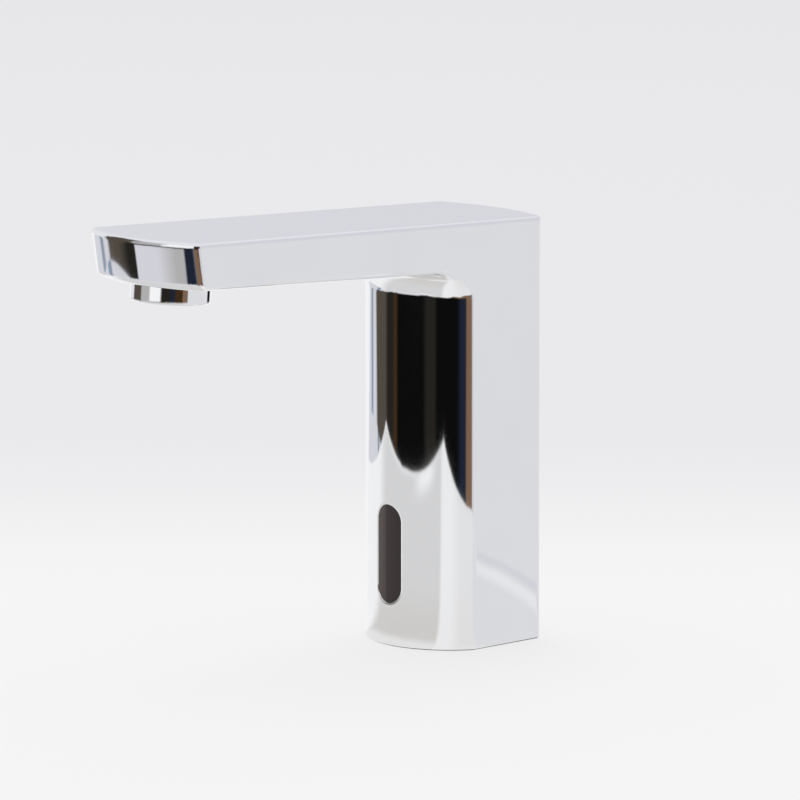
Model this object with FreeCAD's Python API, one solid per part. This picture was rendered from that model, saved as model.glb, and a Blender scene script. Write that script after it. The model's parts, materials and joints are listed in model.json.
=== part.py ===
"""Deck-mounted sensor tap, in millimetres.

+Z is up and z = 0 is the deck. The origin lies on the mounting shank's axis, in the middle of the
column. The spout points along -Y, and the casting is symmetric about X = 0 but for two small pillars
that the sensor is screwed to.
The chrome body is one hollow casting: a D-shaped column and a flat spout that rises a little towards
its tip. The column holds, from the bottom up, the inlet with its filter and non-return valve, the
sensor behind its window, and a pilot-operated solenoid valve. A pipe leads from the valve through the
spout to the aerator. Threads are plain cylinders of the thread's major diameter.
"""
import FreeCAD, Part
import math
import os

V = FreeCAD.Vector

# ---- Driving dimensions: the casting ----
column_width = 53.2         # across the column at its rear corners
tip_width = 56.2            # across the spout's tip
column_depth = 32.6         # of the column's straight sides
front_bow = 16.6            # of the column's front, seen from above
rear_bow = 6.0              # of the column's back, seen from above
spout_reach = 129.0         # from the origin to the outlet's centre
tip_length = 11.8           # from the outlet's centre to the end of the straight sides
tip_bow = 8.4               # of the tip, seen from above
rear_height = 152.0         # of the top at the rear corners, above the column's lower edge
top_rise = 0.036            # of the top towards the tip, per mm
spout_depth = 18.0          # of the spout where it leaves the column
underside_rise = 0.046      # of the spout's underside towards the tip, per mm
tip_rake = 9.0              # degrees by which the tip's face leans back towards its lower edge
wall = 3.0                  # of the casting
root_round = 10.0           # hollow round between the column's front and the spout
edge_round = 2.5            # along the front's side edges and round the underside
tip_corner_round = 3.0      # upright corners of the tip
rear_corner_round = 2.0     # upright corners of the back
top_round = 1.5             # round the top face

# ---- Driving dimensions: the outlet ----
outlet_drop = 6.8           # of the aerator ring's rim below the underside
outlet_tilt = 4.57          # degrees by which the water leaves away from the column
ring_radius = 14.0          # aerator shroud's visible ring
thread_radius = 12.0        # aerator thread
pipe_radius = 4.0           # outlet pipe
pipe_bore = 3.0

# ---- Driving dimensions: the sensor ----
window_width = 12.0
window_height = 35.5
window_centre = 32.8        # above the column's lower edge
screw_radius = 1.5          # small machine screws

# ---- Driving dimensions: the deck fixing and the water inlet ----
seal_proud = 0.4            # base seal below the column's lower edge
shank_radius = 16.0
shank_bore = 13.5
shank_length = 55.0         # below the deck
deck_thickness = 20.0       # deck that the clamp is shown set for
plate_thickness = 6.0
inlet_radius = 4.5          # thread hole for the supply hose
riser_radius = 6.0
riser_bore = 5.0

# ---- Driving dimensions: the valve ----
valve_base = 68.0           # valve body's lower face, above the deck
valve_radius = 18.0
seat_radius = 6.0
seat_bore = 4.0
piston_radius = 10.8
piston_lift = 2.0
plunger_radius = 4.0
plunger_lift = 2.5
check_lift = 2.5

# ---- Clearances ----
slide_gap = 0.05            # radial, of pieces that slide
fit_gap = 0.1               # of pieces that are dropped in place
spring_gap_least = 0.4      # least gap between a spring's turns

# ---- Places worked out from them ----
base_z = seal_proud
rear_y = column_depth * 2 / 3
front_y = rear_y - column_depth
outlet_y = -spout_reach
tip_y = outlet_y - tip_length
front_face_y = front_y - front_bow
root_z = base_z + rear_height + top_rise * column_depth - spout_depth
flare = (tip_width - column_width) / 2 / (rear_y - tip_y)
plate_z = base_z + 1.0
plate_top = plate_z + plate_thickness
sensor_z = base_z + window_centre
spout_floor = 2.6
roof = 2.8
tip_wall = 6.0
root_slope = 3.0
lug_radius = 4.5
lug_height = 12.0
pillar_hole = 4.0
plate_screw_radius = 2.0
seal_outer_inset = 0.8
seal_inner_inset = 2.2
seal_groove_depth = 1.0
seal_width = 1.2            # of the O-ring grooves
screw_depth = plate_thickness - 1.0


def half_width(y):
    """Half of the outline's width at a distance along the spout."""
    return column_width / 2 + flare * (rear_y - y)


def top_z(y):
    """Height of the casting's top face."""
    return base_z + rear_height + top_rise * (rear_y - y)


def underside_z(y):
    """Height of the spout's underside."""
    return root_z + underside_rise * (front_y - y)


def bow_radius(half_chord, bow):
    """Radius of the arc that stands out by bow over a chord."""
    return (half_chord ** 2 + bow ** 2) / (2 * bow)


front_radius = bow_radius(half_width(front_y), front_bow)
front_centre_y = front_face_y + front_radius
rear_radius = bow_radius(half_width(rear_y), rear_bow)
rear_centre_y = rear_y + rear_bow - rear_radius
tip_radius = bow_radius(half_width(tip_y), tip_bow)
tip_centre_y = tip_y - tip_bow + tip_radius
inner_front_radius = front_radius - wall
inner_front_y = front_centre_y - inner_front_radius
inner_half = column_width / 2 - wall

plate_screw_places = [(side * (inner_half - lug_radius - 1.5), y)
                      for side in (-1, 1) for y in (front_y - 0.5, rear_y - lug_radius + 0.5)]
block_half = inner_half - 1.3
block_screw_places = [-(shank_radius + 3.2), shank_radius + 3.2]

# sensor, from the front wall backwards
lens_recess = 0.3
lip_width = 2.0
lens_lip_outer = inner_front_radius - 0.6
lens_lip_inner = lens_lip_outer - 1.4
gasket_gap = 0.02
housing_width = window_width + 8
housing_height = window_height + 6.5
housing_wall = 1.5
housing_back_y = inner_front_y + 11
lid_thickness = 1.4
board_thickness = 1.4
board_y = housing_back_y - lid_thickness - 1.2 - board_thickness
sensor_ear_y = inner_front_y + 6.5
ear_thickness = 2.0
ear_width = 5.8
pillar_radius = ear_width / 2
ear_x = housing_width / 2 + fit_gap + pillar_radius
ear_rise = 8.0
sensor_screw_places = [(side * ear_x, sensor_z + side * ear_rise) for side in (-1, 1)]
eye_radius = 2.0
eye_length = board_y - (front_centre_y - lens_lip_inner) - 0.5
eye_spacing = 20.0

# clamp under the deck
clamp_radius = 25.0
clamp_gap = 0.4
gasket_thickness = 3.0
washer_thickness = 2.0
nut_height = 8.0
nut_flats = 40.0
nut_top = -deck_thickness - gasket_thickness - washer_thickness

# inlet, from the hose upwards
inlet_y = -1.5
inlet_z = -6.0
filter_z = 5.0
inlet_bore = riser_radius + 0.1
block_thickness = 4.0
tower_radius = inlet_bore + 1.8
filter_slots = 12
web_half = shank_bore - 2
check_z = 15.0
check_bore = inlet_bore - 0.8
check_seat_bore = 3.4
poppet_thickness = 1.4
poppet_stem = 1.0
check_top = 24.0
guide_thickness = 1.5
check_spring_turns = 5
check_spring_radius = 2.2
check_wire_radius = 0.25
riser_start = check_top + 0.2
riser_seal_low = riser_start + 4
tower_top = riser_seal_low + 3
grommet_y = 10.0
grommet_radius = 2.6
grommet_bore = 1.7

# valve, from the riser upwards
valve_y = 4.0
stay_places = [(-14.5, valve_y + 6.5), (14.5, valve_y + 6.5)]
stay_flats = 4.6
socket_depth = 8.0
riser_end = valve_base + socket_depth - 0.2
riser_seal_high = riser_end - 3.0
channel_radius = 3.0
channel_z = valve_base + socket_depth + channel_radius + 0.5
outlet_way_radius = 3.5
outlet_way_z = channel_z + channel_radius + outlet_way_radius + 2.5
chamber_floor = outlet_way_z + outlet_way_radius + 2.0
chamber_outer = piston_radius + 0.6
feed_y = valve_y + (seat_radius + chamber_outer) / 2
feed_radius = (chamber_outer - seat_radius) / 2 - 0.5
seat_z = chamber_floor + 3.0
valve_top = seat_z + 1.0
piston_height = 4.0
pilot_z = seat_z + piston_height + 0.8
bonnet_chamber_top = seat_z + piston_height + piston_lift + 2.0
bonnet_top = bonnet_chamber_top + 4.5
bonnet_screw_ring = valve_radius - 3.2
bonnet_screw_places = [(bonnet_screw_ring * math.cos(math.radians(angle)),
                        valve_y + bonnet_screw_ring * math.sin(math.radians(angle)))
                       for angle in (45, 135, 225, 315)]
tube_radius = plunger_radius + 1.2
tube_flange = tube_radius + 2.8
tip_radius_rubber = 2.6
plunger_z = pilot_z + 1.0
plunger_top = plunger_z + 17.7
spring_pocket = 2.6
spring_floor = plunger_top - 8.0
pole_z = plunger_top + plunger_lift + 0.3
tube_roof = 2.0
tube_top = pole_z + 5.2
stud_radius = 3.0
coil_nut_flats = 10.0
stud_top = tube_top + 5.0
yoke_thickness = 1.5
coil_radius = 13.0
coil_z = bonnet_top + yoke_thickness
coil_top = tube_top - fit_gap
plunger_spring_turns = 8
plunger_spring_radius = 1.95
plunger_wire_radius = 0.22

# outlet pipe's route
nose_half = 7.0
nose_base = outlet_way_z - outlet_way_radius - 2.0
pipe_bend = 11.0
seal_groove = pipe_radius + 1.0
pipe_line_y = inner_front_y + pipe_radius + 2.2
valve_seal_z = valve_top - 2.9
pipe_start = V(0, pipe_line_y, outlet_way_z + outlet_way_radius + 0.3)
pipe_corner = V(0, pipe_line_y, (underside_z(pipe_line_y) + spout_floor + top_z(pipe_line_y) - roof) / 2)
pipe_socket_length = 10.0
pipe_end_y = outlet_y + thread_radius + 1.4
pipe_end = V(0, pipe_end_y, top_z(pipe_end_y) - roof - pipe_radius - 0.8)
pipe_socket_y = pipe_end_y + pipe_socket_length + 1.0
socket_half = 7.5
spout_seal_place = pipe_end - (pipe_end - pipe_corner).normalize() * 5.0

# aerator, from its rim upwards along the outlet's axis
outlet_z = underside_z(outlet_y) - outlet_drop
ring_height = outlet_drop + 0.2
lip_radius = ring_radius - 4.8
lip_height = 1.0
cartridge_radius = thread_radius - 1.9
cartridge_top = ring_height + 4.4
neck_top = cartridge_top + 0.4
thread_top = neck_top + 1.4
washer_bore = 8.6
chamber_radius = washer_bore + 0.9
chamber_top = thread_top + 6.2
boss_radius = thread_radius + 3.5
screen_rise = 2.2


# ---- Shapes that many pieces use ----
def cylinder(radius, low, high, x=0.0, y=0.0):
    """Upright cylinder between two heights."""
    return Part.makeCylinder(radius, high - low, V(x, y, low))


def tube(outer, inner, low, high, x=0.0, y=0.0):
    """Upright tube between two heights."""
    return cylinder(outer, low, high, x, y).cut(cylinder(inner, low - 1, high + 1, x, y))


def cylinder_y(radius, start, end, x, z):
    """Cylinder along Y between two places."""
    return Part.makeCylinder(radius, end - start, V(x, start, z), V(0, 1, 0))


def box(x_range, y_range, z_range):
    """Box between pairs of limits."""
    size = [limits[1] - limits[0] for limits in (x_range, y_range, z_range)]
    return Part.makeBox(*size, V(x_range[0], y_range[0], z_range[0]))


def ring(centre_radius, section, z, x=0.0, y=0.0):
    """O-ring lying flat."""
    return Part.makeTorus(centre_radius, section, V(x, y, z))


def joined(shapes):
    """Several solids as one, with no seams left in flat faces."""
    return shapes[0].fuse(shapes[1:]).removeSplitter()


def prism_x(points, half_length):
    """Solid of a side view, given as (y, z) points, across the middle plane."""
    corners = [V(-half_length, y, z) for y, z in points]
    return Part.Face(Part.makePolygon(corners + corners[:1])).extrude(V(2 * half_length, 0, 0))


def obround_y(width, height, start, end, z):
    """Prism along Y with round upper and lower ends, centred on a height."""
    radius = width / 2
    straight = height / 2 - radius
    middle = box((-radius, radius), (start, end), (z - straight, z + straight))
    ends = [cylinder_y(radius, start, end, 0, z + side * straight) for side in (-1, 1)]
    return joined([middle] + ends)


def hexagon(across_flats, low, high, x=0.0, y=0.0):
    """Upright hexagonal prism."""
    corner_radius = across_flats / math.sqrt(3)
    corners = [V(x + corner_radius * math.cos(math.radians(60 * i)),
                 y + corner_radius * math.sin(math.radians(60 * i)), low) for i in range(7)]
    return Part.Face(Part.makePolygon(corners)).extrude(V(0, 0, high - low))


def front_shell(outer, inner, low, high):
    """Part of a tube that is concentric with the column's front."""
    return tube(outer, inner, low, high, 0, front_centre_y)


def machine_screw(radius, head_radius, head_height, length):
    """Socket screw pointing along -Z from its head's seat at the origin."""
    head = cylinder(head_radius, 0, head_height)
    socket = hexagon(radius * 1.7, head_height * 0.4, head_height + 1)
    return joined([head, cylinder(radius, -length, 0)]).cut(socket)


def placed(shape, position, axis=V(0, 0, 1)):
    """Copy of a shape moved from the origin, with its +Z turned to an axis."""
    copy = shape.copy()
    copy.Placement = FreeCAD.Placement(position, FreeCAD.Rotation(V(0, 0, 1), axis))
    return copy


def mirrored_pair(shape):
    """A shape and its mirror image across the middle plane."""
    return [shape, shape.mirror(V(0, 0, 0), V(1, 0, 0))]


def bowed_face(side_points, bow_middle, z):
    """Flat face with one bowed end: the sides' corners, then the bow's middle."""
    corners = [V(x, y, z) for x, y in side_points]
    bow = Part.Arc(corners[-1], V(*bow_middle, z), corners[0]).toShape()
    sides = [Part.makeLine(a, b) for a, b in zip(corners, corners[1:])]
    return Part.Face(Part.Wire(sides + [bow]))


def coil_spring(mean_radius, wire_radius, low, high, turns, x=0.0, y=0.0):
    """Compression spring between two faces, swept along a helix and cut flat at its ends."""
    rise = high - low - 2 * wire_radius
    pitch = rise / turns
    path = Part.makeHelix(pitch, rise, mean_radius)
    tangent = V(0, mean_radius, pitch / (2 * math.pi))
    section = Part.Wire(Part.makeCircle(wire_radius, V(mean_radius, 0, 0), tangent))
    coil = Part.Wire(path).makePipeShell([section], True, True)
    gap = pitch * math.cos(math.atan2(pitch, 2 * math.pi * mean_radius)) - 2 * wire_radius
    print(f"spring of {turns} turns: least gap {gap:.2f} mm")
    assert gap > spring_gap_least
    coil.translate(V(x, y, low + wire_radius))
    return coil


# ---- The casting ----
def side_prism():
    """Everything between the sides, the bowed back and the raked, bowed tip."""
    low, high = -1.0, top_z(tip_y) + 20
    back_face = bowed_face([(half_width(rear_y), rear_y), (half_width(-300), -300),
                            (-half_width(-300), -300), (-half_width(rear_y), rear_y)],
                           (0, rear_y + rear_bow), low)
    back = back_face.extrude(V(0, 0, high - low))
    upright = [e for e in back.Edges if on_corner(e, half_width(rear_y), rear_y)]
    back = back.makeFillet(rear_corner_round, upright)
    lean = math.tan(math.radians(tip_rake))
    above = top_z(tip_y - tip_bow) + 5
    bow_y = tip_y - tip_bow - lean * (above - top_z(tip_y - tip_bow))
    half = tip_radius * 0.8
    bow_edge_y = bow_y + tip_radius - math.sqrt(tip_radius ** 2 - half ** 2)
    front_face = bowed_face([(-half, bow_edge_y), (-half, tip_width), (half, tip_width), (half, bow_edge_y)],
                            (0, bow_y), above)
    front = front_face.extrude(V(0, lean * (above - low), low - above))
    return back.common(front)


def on_corner(edge, x, y):
    """True for an upright edge at a corner of the plan, left or right."""
    ends = [vertex.Point for vertex in edge.Vertexes]
    upright = len(ends) == 2 and abs(ends[0].x - ends[1].x) < 0.01
    return upright and all(abs(abs(p.x) - x) < 0.01 and abs(p.y - y) < 0.01 for p in ends)


def block_with_root():
    """Column and spout, still too wide, with the hollow round where they meet."""
    far = 40.0
    column_top = underside_z(front_y) + 8
    arc_y = front_centre_y
    corners = [(front_radius, arc_y), (front_radius, far), (-front_radius, far), (-front_radius, arc_y)]
    column = bowed_face(corners, (0, front_face_y), base_z).extrude(V(0, 0, column_top - base_z))
    ends = (tip_y - 40, far)
    spout = prism_x([(ends[0], underside_z(ends[0])), (ends[1], underside_z(ends[1])),
                     (ends[1], top_z(ends[1]) + 20), (ends[0], top_z(ends[0]) + 20)], front_radius + 15)
    block = column.fuse(spout).removeSplitter()
    root_edges = [e for e in block.Edges if on_root(e)]
    return block.makeFillet(root_round, root_edges)


def on_root(edge):
    """True for an edge where the wide column meets the spout's underside."""
    first, last = edge.ParameterRange
    points = [edge.valueAt(first + (last - first) * part) for part in (0.0, 0.5, 1.0)]
    below = all(abs(p.z - underside_z(p.y)) < 0.01 for p in points)
    inside = all(abs(p.x) < front_radius + 0.1 and p.y > front_face_y - 0.1 for p in points)
    return below and inside


def outer_shape():
    """The casting's outside."""
    far = 60.0
    start = tip_y - far
    below_top = prism_x([(start, 0), (far, 0), (far, top_z(far)), (start, top_z(start))], far)
    shape = block_with_root().common(side_prism()).common(below_top).removeSplitter()
    upright = [e for e in shape.Edges if near_tip_corner(e)]
    shape = shape.makeFillet(tip_corner_round, upright)
    crest = [e for e in shape.Edges if all(abs(v.Z - top_z(v.Y)) < 0.01 for v in e.Vertexes)
             and abs(e.CenterOfMass.z - top_z(e.CenterOfMass.y)) < 0.05]
    shape = shape.makeFillet(top_round, crest)
    lower = [e for e in shape.Edges if on_crease(e)]
    return shape.makeFillet(edge_round, lower)


def near_tip_corner(edge):
    """True for the two edges between the tip's face and the sides."""
    middle = edge.CenterOfMass
    ends = [vertex.Point for vertex in edge.Vertexes]
    if len(ends) != 2 or abs(ends[0].z - ends[1].z) < spout_depth / 2:
        return False
    return abs(abs(middle.x) - half_width(tip_y)) < 0.5 and middle.y < tip_y + 5


def on_crease(edge):
    """True for the two edges between the column's front and its sides."""
    return on_corner(edge, half_width(front_y), front_y)


def column_cavity(side_gap, low, high):
    """Prism of the column's hollow, or of a plate that fits in it with a gap."""
    inset = wall + side_gap
    front_r = front_radius - inset
    rear_r = rear_radius - inset
    side = half_width(front_y) - inset
    front_corner_y = front_centre_y - math.sqrt(front_r ** 2 - side ** 2)
    rear_corner_y = rear_centre_y + math.sqrt(rear_r ** 2 - side ** 2)
    front = bowed_face([(-side, front_corner_y), (-side, 0), (side, 0), (side, front_corner_y)],
                       (0, front_centre_y - front_r), low)
    rear = bowed_face([(side, rear_corner_y), (side, 0), (-side, 0), (-side, rear_corner_y)],
                      (0, rear_centre_y + rear_r), low)
    height = V(0, 0, high - low)
    return joined([front.extrude(height), rear.extrude(height)])


def spout_cavity():
    """Hollow of the spout, round the outlet's boss and the pipe's socket."""
    end_y = tip_y - tip_bow + tip_wall
    start_y = inner_front_y + 1
    lengthwise = prism_x([(end_y, underside_z(end_y) + spout_floor), (end_y, top_z(end_y) - roof),
                          (start_y, top_z(start_y) - roof), (start_y, underside_z(start_y) + spout_floor),
                          ], tip_width)
    side = half_width(front_y) - wall
    tip_r = tip_radius - tip_wall
    corner_y = tip_centre_y - math.sqrt(tip_r ** 2 - side ** 2)
    plan = bowed_face([(-side, corner_y), (-side, 0), (side, 0), (side, corner_y)],
                      (0, tip_centre_y - tip_r), root_z - 10)
    hollow = lengthwise.common(plan.extrude(V(0, 0, spout_depth * 3)))
    boss = outlet_placed(cylinder(boss_radius, -10, 40))
    socket = box((-socket_half, socket_half), (outlet_y, pipe_socket_y), (root_z - 10, root_z + 40))
    corner = (start_y - 1, underside_z(start_y) + spout_floor)
    slope = prism_x([(corner[0] - root_slope, corner[1] + 0.01), (corner[0] + 1, corner[1] - root_slope - 1),
                     (corner[0] + 1, corner[1] + 0.01)], side)
    return hollow.cut(boss).cut(socket).fuse(slope)


def outlet_placed(shape):
    """A shape drawn with the outlet's axis as +Z and its rim at z = 0, in its place in the tap."""
    copy = shape.copy()
    turn = FreeCAD.Rotation(V(1, 0, 0), -outlet_tilt)
    copy.Placement = FreeCAD.Placement(V(0, outlet_y, outlet_z), turn)
    return copy


def pipe_solid(radius, overhang=0.0):
    """Round bar along the outlet pipe's route: up, a bend, and along the spout."""
    rise = V(0, 0, 1)
    run = (pipe_end - pipe_corner).normalize()
    turn = math.acos(rise.dot(run))
    setback = pipe_bend * math.tan(turn / 2)
    bend_start = pipe_corner - rise * setback
    bend_end = pipe_corner + run * setback
    inward = (run - rise * rise.dot(run)).normalize()
    centre = bend_start + inward * pipe_bend
    halfway = centre + (pipe_corner - centre).normalize() * pipe_bend
    start = pipe_start - rise * overhang
    end = pipe_end + run * overhang
    path = Part.Wire([Part.makeLine(start, bend_start),
                      Part.Arc(bend_start, halfway, bend_end).toShape(),
                      Part.makeLine(bend_end, end)])
    section = Part.Wire(Part.makeCircle(radius, start, rise))
    return path.makePipeShell([section], True, False)


def lugs():
    """Lugs inside the column that the base plate is screwed to, and the sensor's two pillars."""
    heights = (plate_top, plate_top + lug_height)
    posts = [cylinder(lug_radius, *heights, x, y) for x, y in plate_screw_places]
    for x, y in plate_screw_places:
        wall_x = math.copysign(inner_half + 1, x)
        web_y = (y - lug_radius * 0.7, y + lug_radius * 0.7)
        posts.append(box((min(x, wall_x), max(x, wall_x)), web_y, heights))
    pillars = [cylinder_y(pillar_radius, inner_front_y - 1, sensor_ear_y, x, z)
               for x, z in sensor_screw_places]
    inside = column_cavity(-1, 0, sensor_z + housing_height)
    return [shape.common(inside) for shape in posts + pillars]


def seal_track(low, high, clearance=0.0):
    """Ring that follows the column's lower edge, in the middle of its wall."""
    outer = column_cavity(seal_outer_inset - wall + clearance, low, high)
    inner = column_cavity(seal_inner_inset - wall - clearance, low - 1, high + 1)
    return outer.cut(inner)


def make_tap_body():
    """The casting: outside, hollow, lugs, outlet seat, window opening and screw holes."""
    far = 60.0
    roofed = prism_x([(-far, base_z - 1), (far, base_z - 1),
                      (far, top_z(far) - roof), (-far, top_z(-far) - roof)], far)
    hollow = column_cavity(0, base_z - 1, top_z(front_y)).common(roofed)
    shape = outer_shape().cut(hollow).cut(spout_cavity())
    shape = shape.fuse(lugs())
    window = obround_y(window_width + 2 * fit_gap, window_height + 2 * fit_gap,
                       front_face_y - 1, inner_front_y + 5, sensor_z)
    outlet = [cylinder(ring_radius + 0.3, -10, ring_height + fit_gap),
              cylinder(thread_radius + fit_gap, 0, thread_top),
              cylinder(chamber_radius, 0, chamber_top)]
    cuts = [window] + [outlet_placed(cut) for cut in outlet]
    run = (pipe_end - pipe_corner).normalize()
    socket_start = pipe_end - run * pipe_socket_length
    cuts.append(Part.makeCylinder(pipe_radius + slide_gap, pipe_socket_length + 3,
                                  socket_start - run * 3, run))
    cuts.append(Part.makeCylinder(pipe_bore, 8, pipe_end, run))
    cuts.append(placed(cylinder(seal_groove, -seal_width / 2, seal_width / 2), spout_seal_place, run))
    for x, y in plate_screw_places:
        cuts.append(cylinder(plate_screw_radius + slide_gap, plate_top - 1, plate_top + lug_height - 3, x, y))
    for x, z in sensor_screw_places:
        cuts.append(cylinder_y(screw_radius + slide_gap, sensor_ear_y - pillar_hole, sensor_ear_y + 1, x, z))
    cuts.append(seal_track(base_z - 1, base_z + seal_groove_depth))
    for cut in cuts:
        shape = shape.cut(cut)
    return shape.removeSplitter()


# ---- Base and sensor pieces ----
def make_base_seal():
    """Rubber ring in the groove of the column's lower edge, standing on the deck."""
    return seal_track(0, base_z + seal_groove_depth, slide_gap)


def make_sensor_window():
    """Obround lens that follows the column's front, with a wider lip behind the wall."""
    low, high = sensor_z - window_height, sensor_z + window_height
    lens = obround_y(window_width, window_height, front_face_y - 2, 0, sensor_z)
    lens = lens.common(front_shell(front_radius - lens_recess, lens_lip_outer - 1, low, high))
    lip = obround_y(window_width + 2 * lip_width, window_height + 2 * lip_width, front_face_y, 0, sensor_z)
    lip = lip.common(front_shell(lens_lip_outer, lens_lip_inner, low, high))
    return joined([lens, lip])


def make_window_gasket():
    """Flat rubber frame between the lens's lip and the casting."""
    low, high = sensor_z - window_height, sensor_z + window_height
    frame = obround_y(window_width + 2 * lip_width, window_height + 2 * lip_width, front_face_y, 0, sensor_z)
    opening = obround_y(window_width + 4 * fit_gap, window_height + 4 * fit_gap,
                        front_face_y - 1, 1, sensor_z)
    return frame.cut(opening).common(front_shell(inner_front_radius, lens_lip_outer + gasket_gap, low, high))


def make_sensor_housing():
    """Plastic case behind the lens, open at the back, with a rib between its two eyes."""
    low = sensor_z - housing_height / 2
    high = sensor_z + housing_height / 2
    half = housing_width / 2
    outline = box((-half, half), (front_face_y, housing_back_y), (low, high))
    face = cylinder(lens_lip_inner - slide_gap, low, high, 0, front_centre_y)
    inside = box((-half + housing_wall, half - housing_wall), (front_face_y, housing_back_y + 1),
                 (low + housing_wall, high - housing_wall))
    inside = inside.common(cylinder(lens_lip_inner - slide_gap - housing_wall, low, high, 0, front_centre_y))
    opening = obround_y(window_width - 2, window_height - 2, front_face_y, housing_back_y, sensor_z)
    rib = box((-half + 1, half - 1), (inner_front_y + 4, board_y), (sensor_z - 0.5, sensor_z + 0.5))
    rib = rib.common(cylinder(lens_lip_inner - slide_gap - 0.5, low, high, 0, front_centre_y))
    ear_y = (sensor_ear_y, sensor_ear_y + ear_thickness)
    ears = [cylinder_y(pillar_radius, *ear_y, x, z) for x, z in sensor_screw_places]
    links = [box((min(x, 0), max(x, 0)), ear_y, (z - pillar_radius, z + pillar_radius))
             for x, z in sensor_screw_places]
    case = joined([outline.common(face)] + ears + links)
    holes = [cylinder_y(screw_radius + fit_gap, sensor_ear_y - 1, sensor_ear_y + ear_thickness + 1, x, z)
             for x, z in sensor_screw_places]
    return case.cut([inside, opening] + holes).fuse(rib)


def make_sensor_lid():
    """Back cover of the sensor's case, with its cable hole."""
    low = sensor_z - housing_height / 2
    half = housing_width / 2
    plate = box((-half, half), (housing_back_y, housing_back_y + lid_thickness), (low, low + housing_height))
    inset = housing_wall + fit_gap
    step_y = board_y + board_thickness + slide_gap
    step = box((-half + inset, half - inset), (step_y, housing_back_y),
               (low + inset, low + housing_height - inset))
    hollow = box((-half + 2 * inset, half - 2 * inset), (step_y - 1, housing_back_y),
                 (low + 2 * inset, low + housing_height - 2 * inset))
    hole = cylinder_y(1.6, housing_back_y - 3, housing_back_y + 3, half - 4, low + 6)
    return joined([plate, step]).cut(hollow).cut(hole)


def make_circuit_board():
    """Board with its two larger chips, between the case and its lid's step."""
    low = sensor_z - housing_height / 2 + housing_wall + fit_gap
    high = sensor_z + housing_height / 2 - housing_wall - fit_gap
    half = housing_width / 2 - housing_wall - fit_gap
    board = box((-half, half), (board_y, board_y + board_thickness), (low, high))
    chips = [box((-3, 3), (board_y + board_thickness, board_y + board_thickness + 1), (z - 3, z + 3))
             for z in (sensor_z - 9, sensor_z + 7)]
    return joined([board] + chips)


def make_infrared_eye(z):
    """Round-nosed infrared component standing on the board and facing the lens."""
    nose_y = board_y - eye_length + eye_radius
    barrel = cylinder_y(eye_radius, nose_y, board_y, 0, z)
    nose = Part.makeSphere(eye_radius, V(0, nose_y, z))
    foot = cylinder_y(eye_radius + 0.4, board_y - 1, board_y, 0, z)
    before_board = box((-10, 10), (front_face_y, board_y), (z - 10, z + 10))
    return joined([barrel, nose, foot]).common(before_board)


def make_sensor_screws():
    """Two screws that hold the sensor's case to the casting's pillars."""
    screw = machine_screw(screw_radius, 2.75, 2.0, pillar_hole + ear_thickness - 0.5)
    return Part.makeCompound([placed(screw, V(x, sensor_ear_y + ear_thickness, z), V(0, 1, 0))
                              for x, z in sensor_screw_places])


def make_base_plate():
    """Brass plate in the column's foot, with the shank's hole and four sunk screw holes."""
    plate = column_cavity(fit_gap, plate_z, plate_top)
    holes = [cylinder(shank_radius + slide_gap, 0, plate_top + 1)]
    for x, y in plate_screw_places:
        holes.append(cylinder(plate_screw_radius + fit_gap, 0, plate_top + 1, x, y))
        holes.append(Part.makeCone(plate_screw_radius * 2 + fit_gap, plate_screw_radius + fit_gap,
                                   plate_screw_radius, V(x, y, plate_z)))
    for x in block_screw_places:
        holes.append(cylinder(screw_radius + slide_gap, plate_top - screw_depth, plate_top + 1, x, 0))
    for x, y in stay_places:
        holes.append(cylinder(screw_radius + slide_gap, plate_top - screw_depth, plate_top + 1, x, y))
    return plate.cut(holes)


def make_base_plate_screws():
    """Four sunk screws that pull the plate up against the casting's lugs."""
    radius = plate_screw_radius
    head = Part.makeCone(radius * 2, radius, radius, V(0, 0, 0))
    slot = hexagon(radius, -1, radius * 0.6)
    screw = joined([head, cylinder(radius, radius, plate_thickness + 7)]).cut(slot)
    return Part.makeCompound([placed(screw, V(x, y, plate_z)) for x, y in plate_screw_places])


# ---- Deck fixing ----
def make_shank():
    """Threaded tube screwed into the base plate and standing down through the deck."""
    shank = tube(shank_radius, shank_bore, -shank_length, plate_top)
    rims = [e for e in shank.Edges if abs(e.CenterOfMass.z + shank_length) < 0.01
            and abs(e.Curve.Radius - shank_radius) < 0.01]
    return shank.makeChamfer(1.0, rims)


def clamp_disc(high, thickness, outer):
    """C-shaped disc that slips onto the shank from the side."""
    inner = shank_radius + clamp_gap
    disc = tube(outer, inner, high - thickness, high)
    return disc.cut(box((-inner, inner), (0, outer + 1), (high - thickness - 1, high + 1)))


def make_lock_nut():
    """Hexagonal nut with a round pressing face."""
    low = nut_top - nut_height
    nut = hexagon(nut_flats, low, nut_top - 2)
    face = cylinder(nut_flats / 2 + 1, nut_top - 2, nut_top)
    return joined([nut, face]).cut(cylinder(shank_radius + slide_gap, low - 1, nut_top + 1))


# ---- Water inlet ----
def make_inlet_block():
    """Brass block on the base plate: hose thread below, filter and valve bore, riser's socket above."""
    low, top = plate_top, plate_top + block_thickness
    web = box((-web_half, web_half), (-10, grommet_y + 4), (low, top))
    arms = box((-block_half, block_half), (-6, 6), (low, top))
    spigot = cylinder(inlet_radius + 3, inlet_z, low, 0, inlet_y)
    tower = cylinder(tower_radius, low, tower_top, 0, inlet_y)
    groove = (riser_seal_low - seal_width / 2, riser_seal_low + seal_width / 2)
    bores = [cylinder(inlet_radius, inlet_z - 1, filter_z + 1, 0, inlet_y),
             cylinder(inlet_bore, filter_z, tower_top + 1, 0, inlet_y),
             cylinder(inlet_bore + 1, *groove, 0, inlet_y),
             cylinder(grommet_radius, low - 1, top + 1, 0, grommet_y)]
    bores += [cylinder(screw_radius + fit_gap, low - 1, top + 1, x, 0) for x in block_screw_places]
    return joined([web, arms, spigot, tower]).cut(bores)


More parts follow.
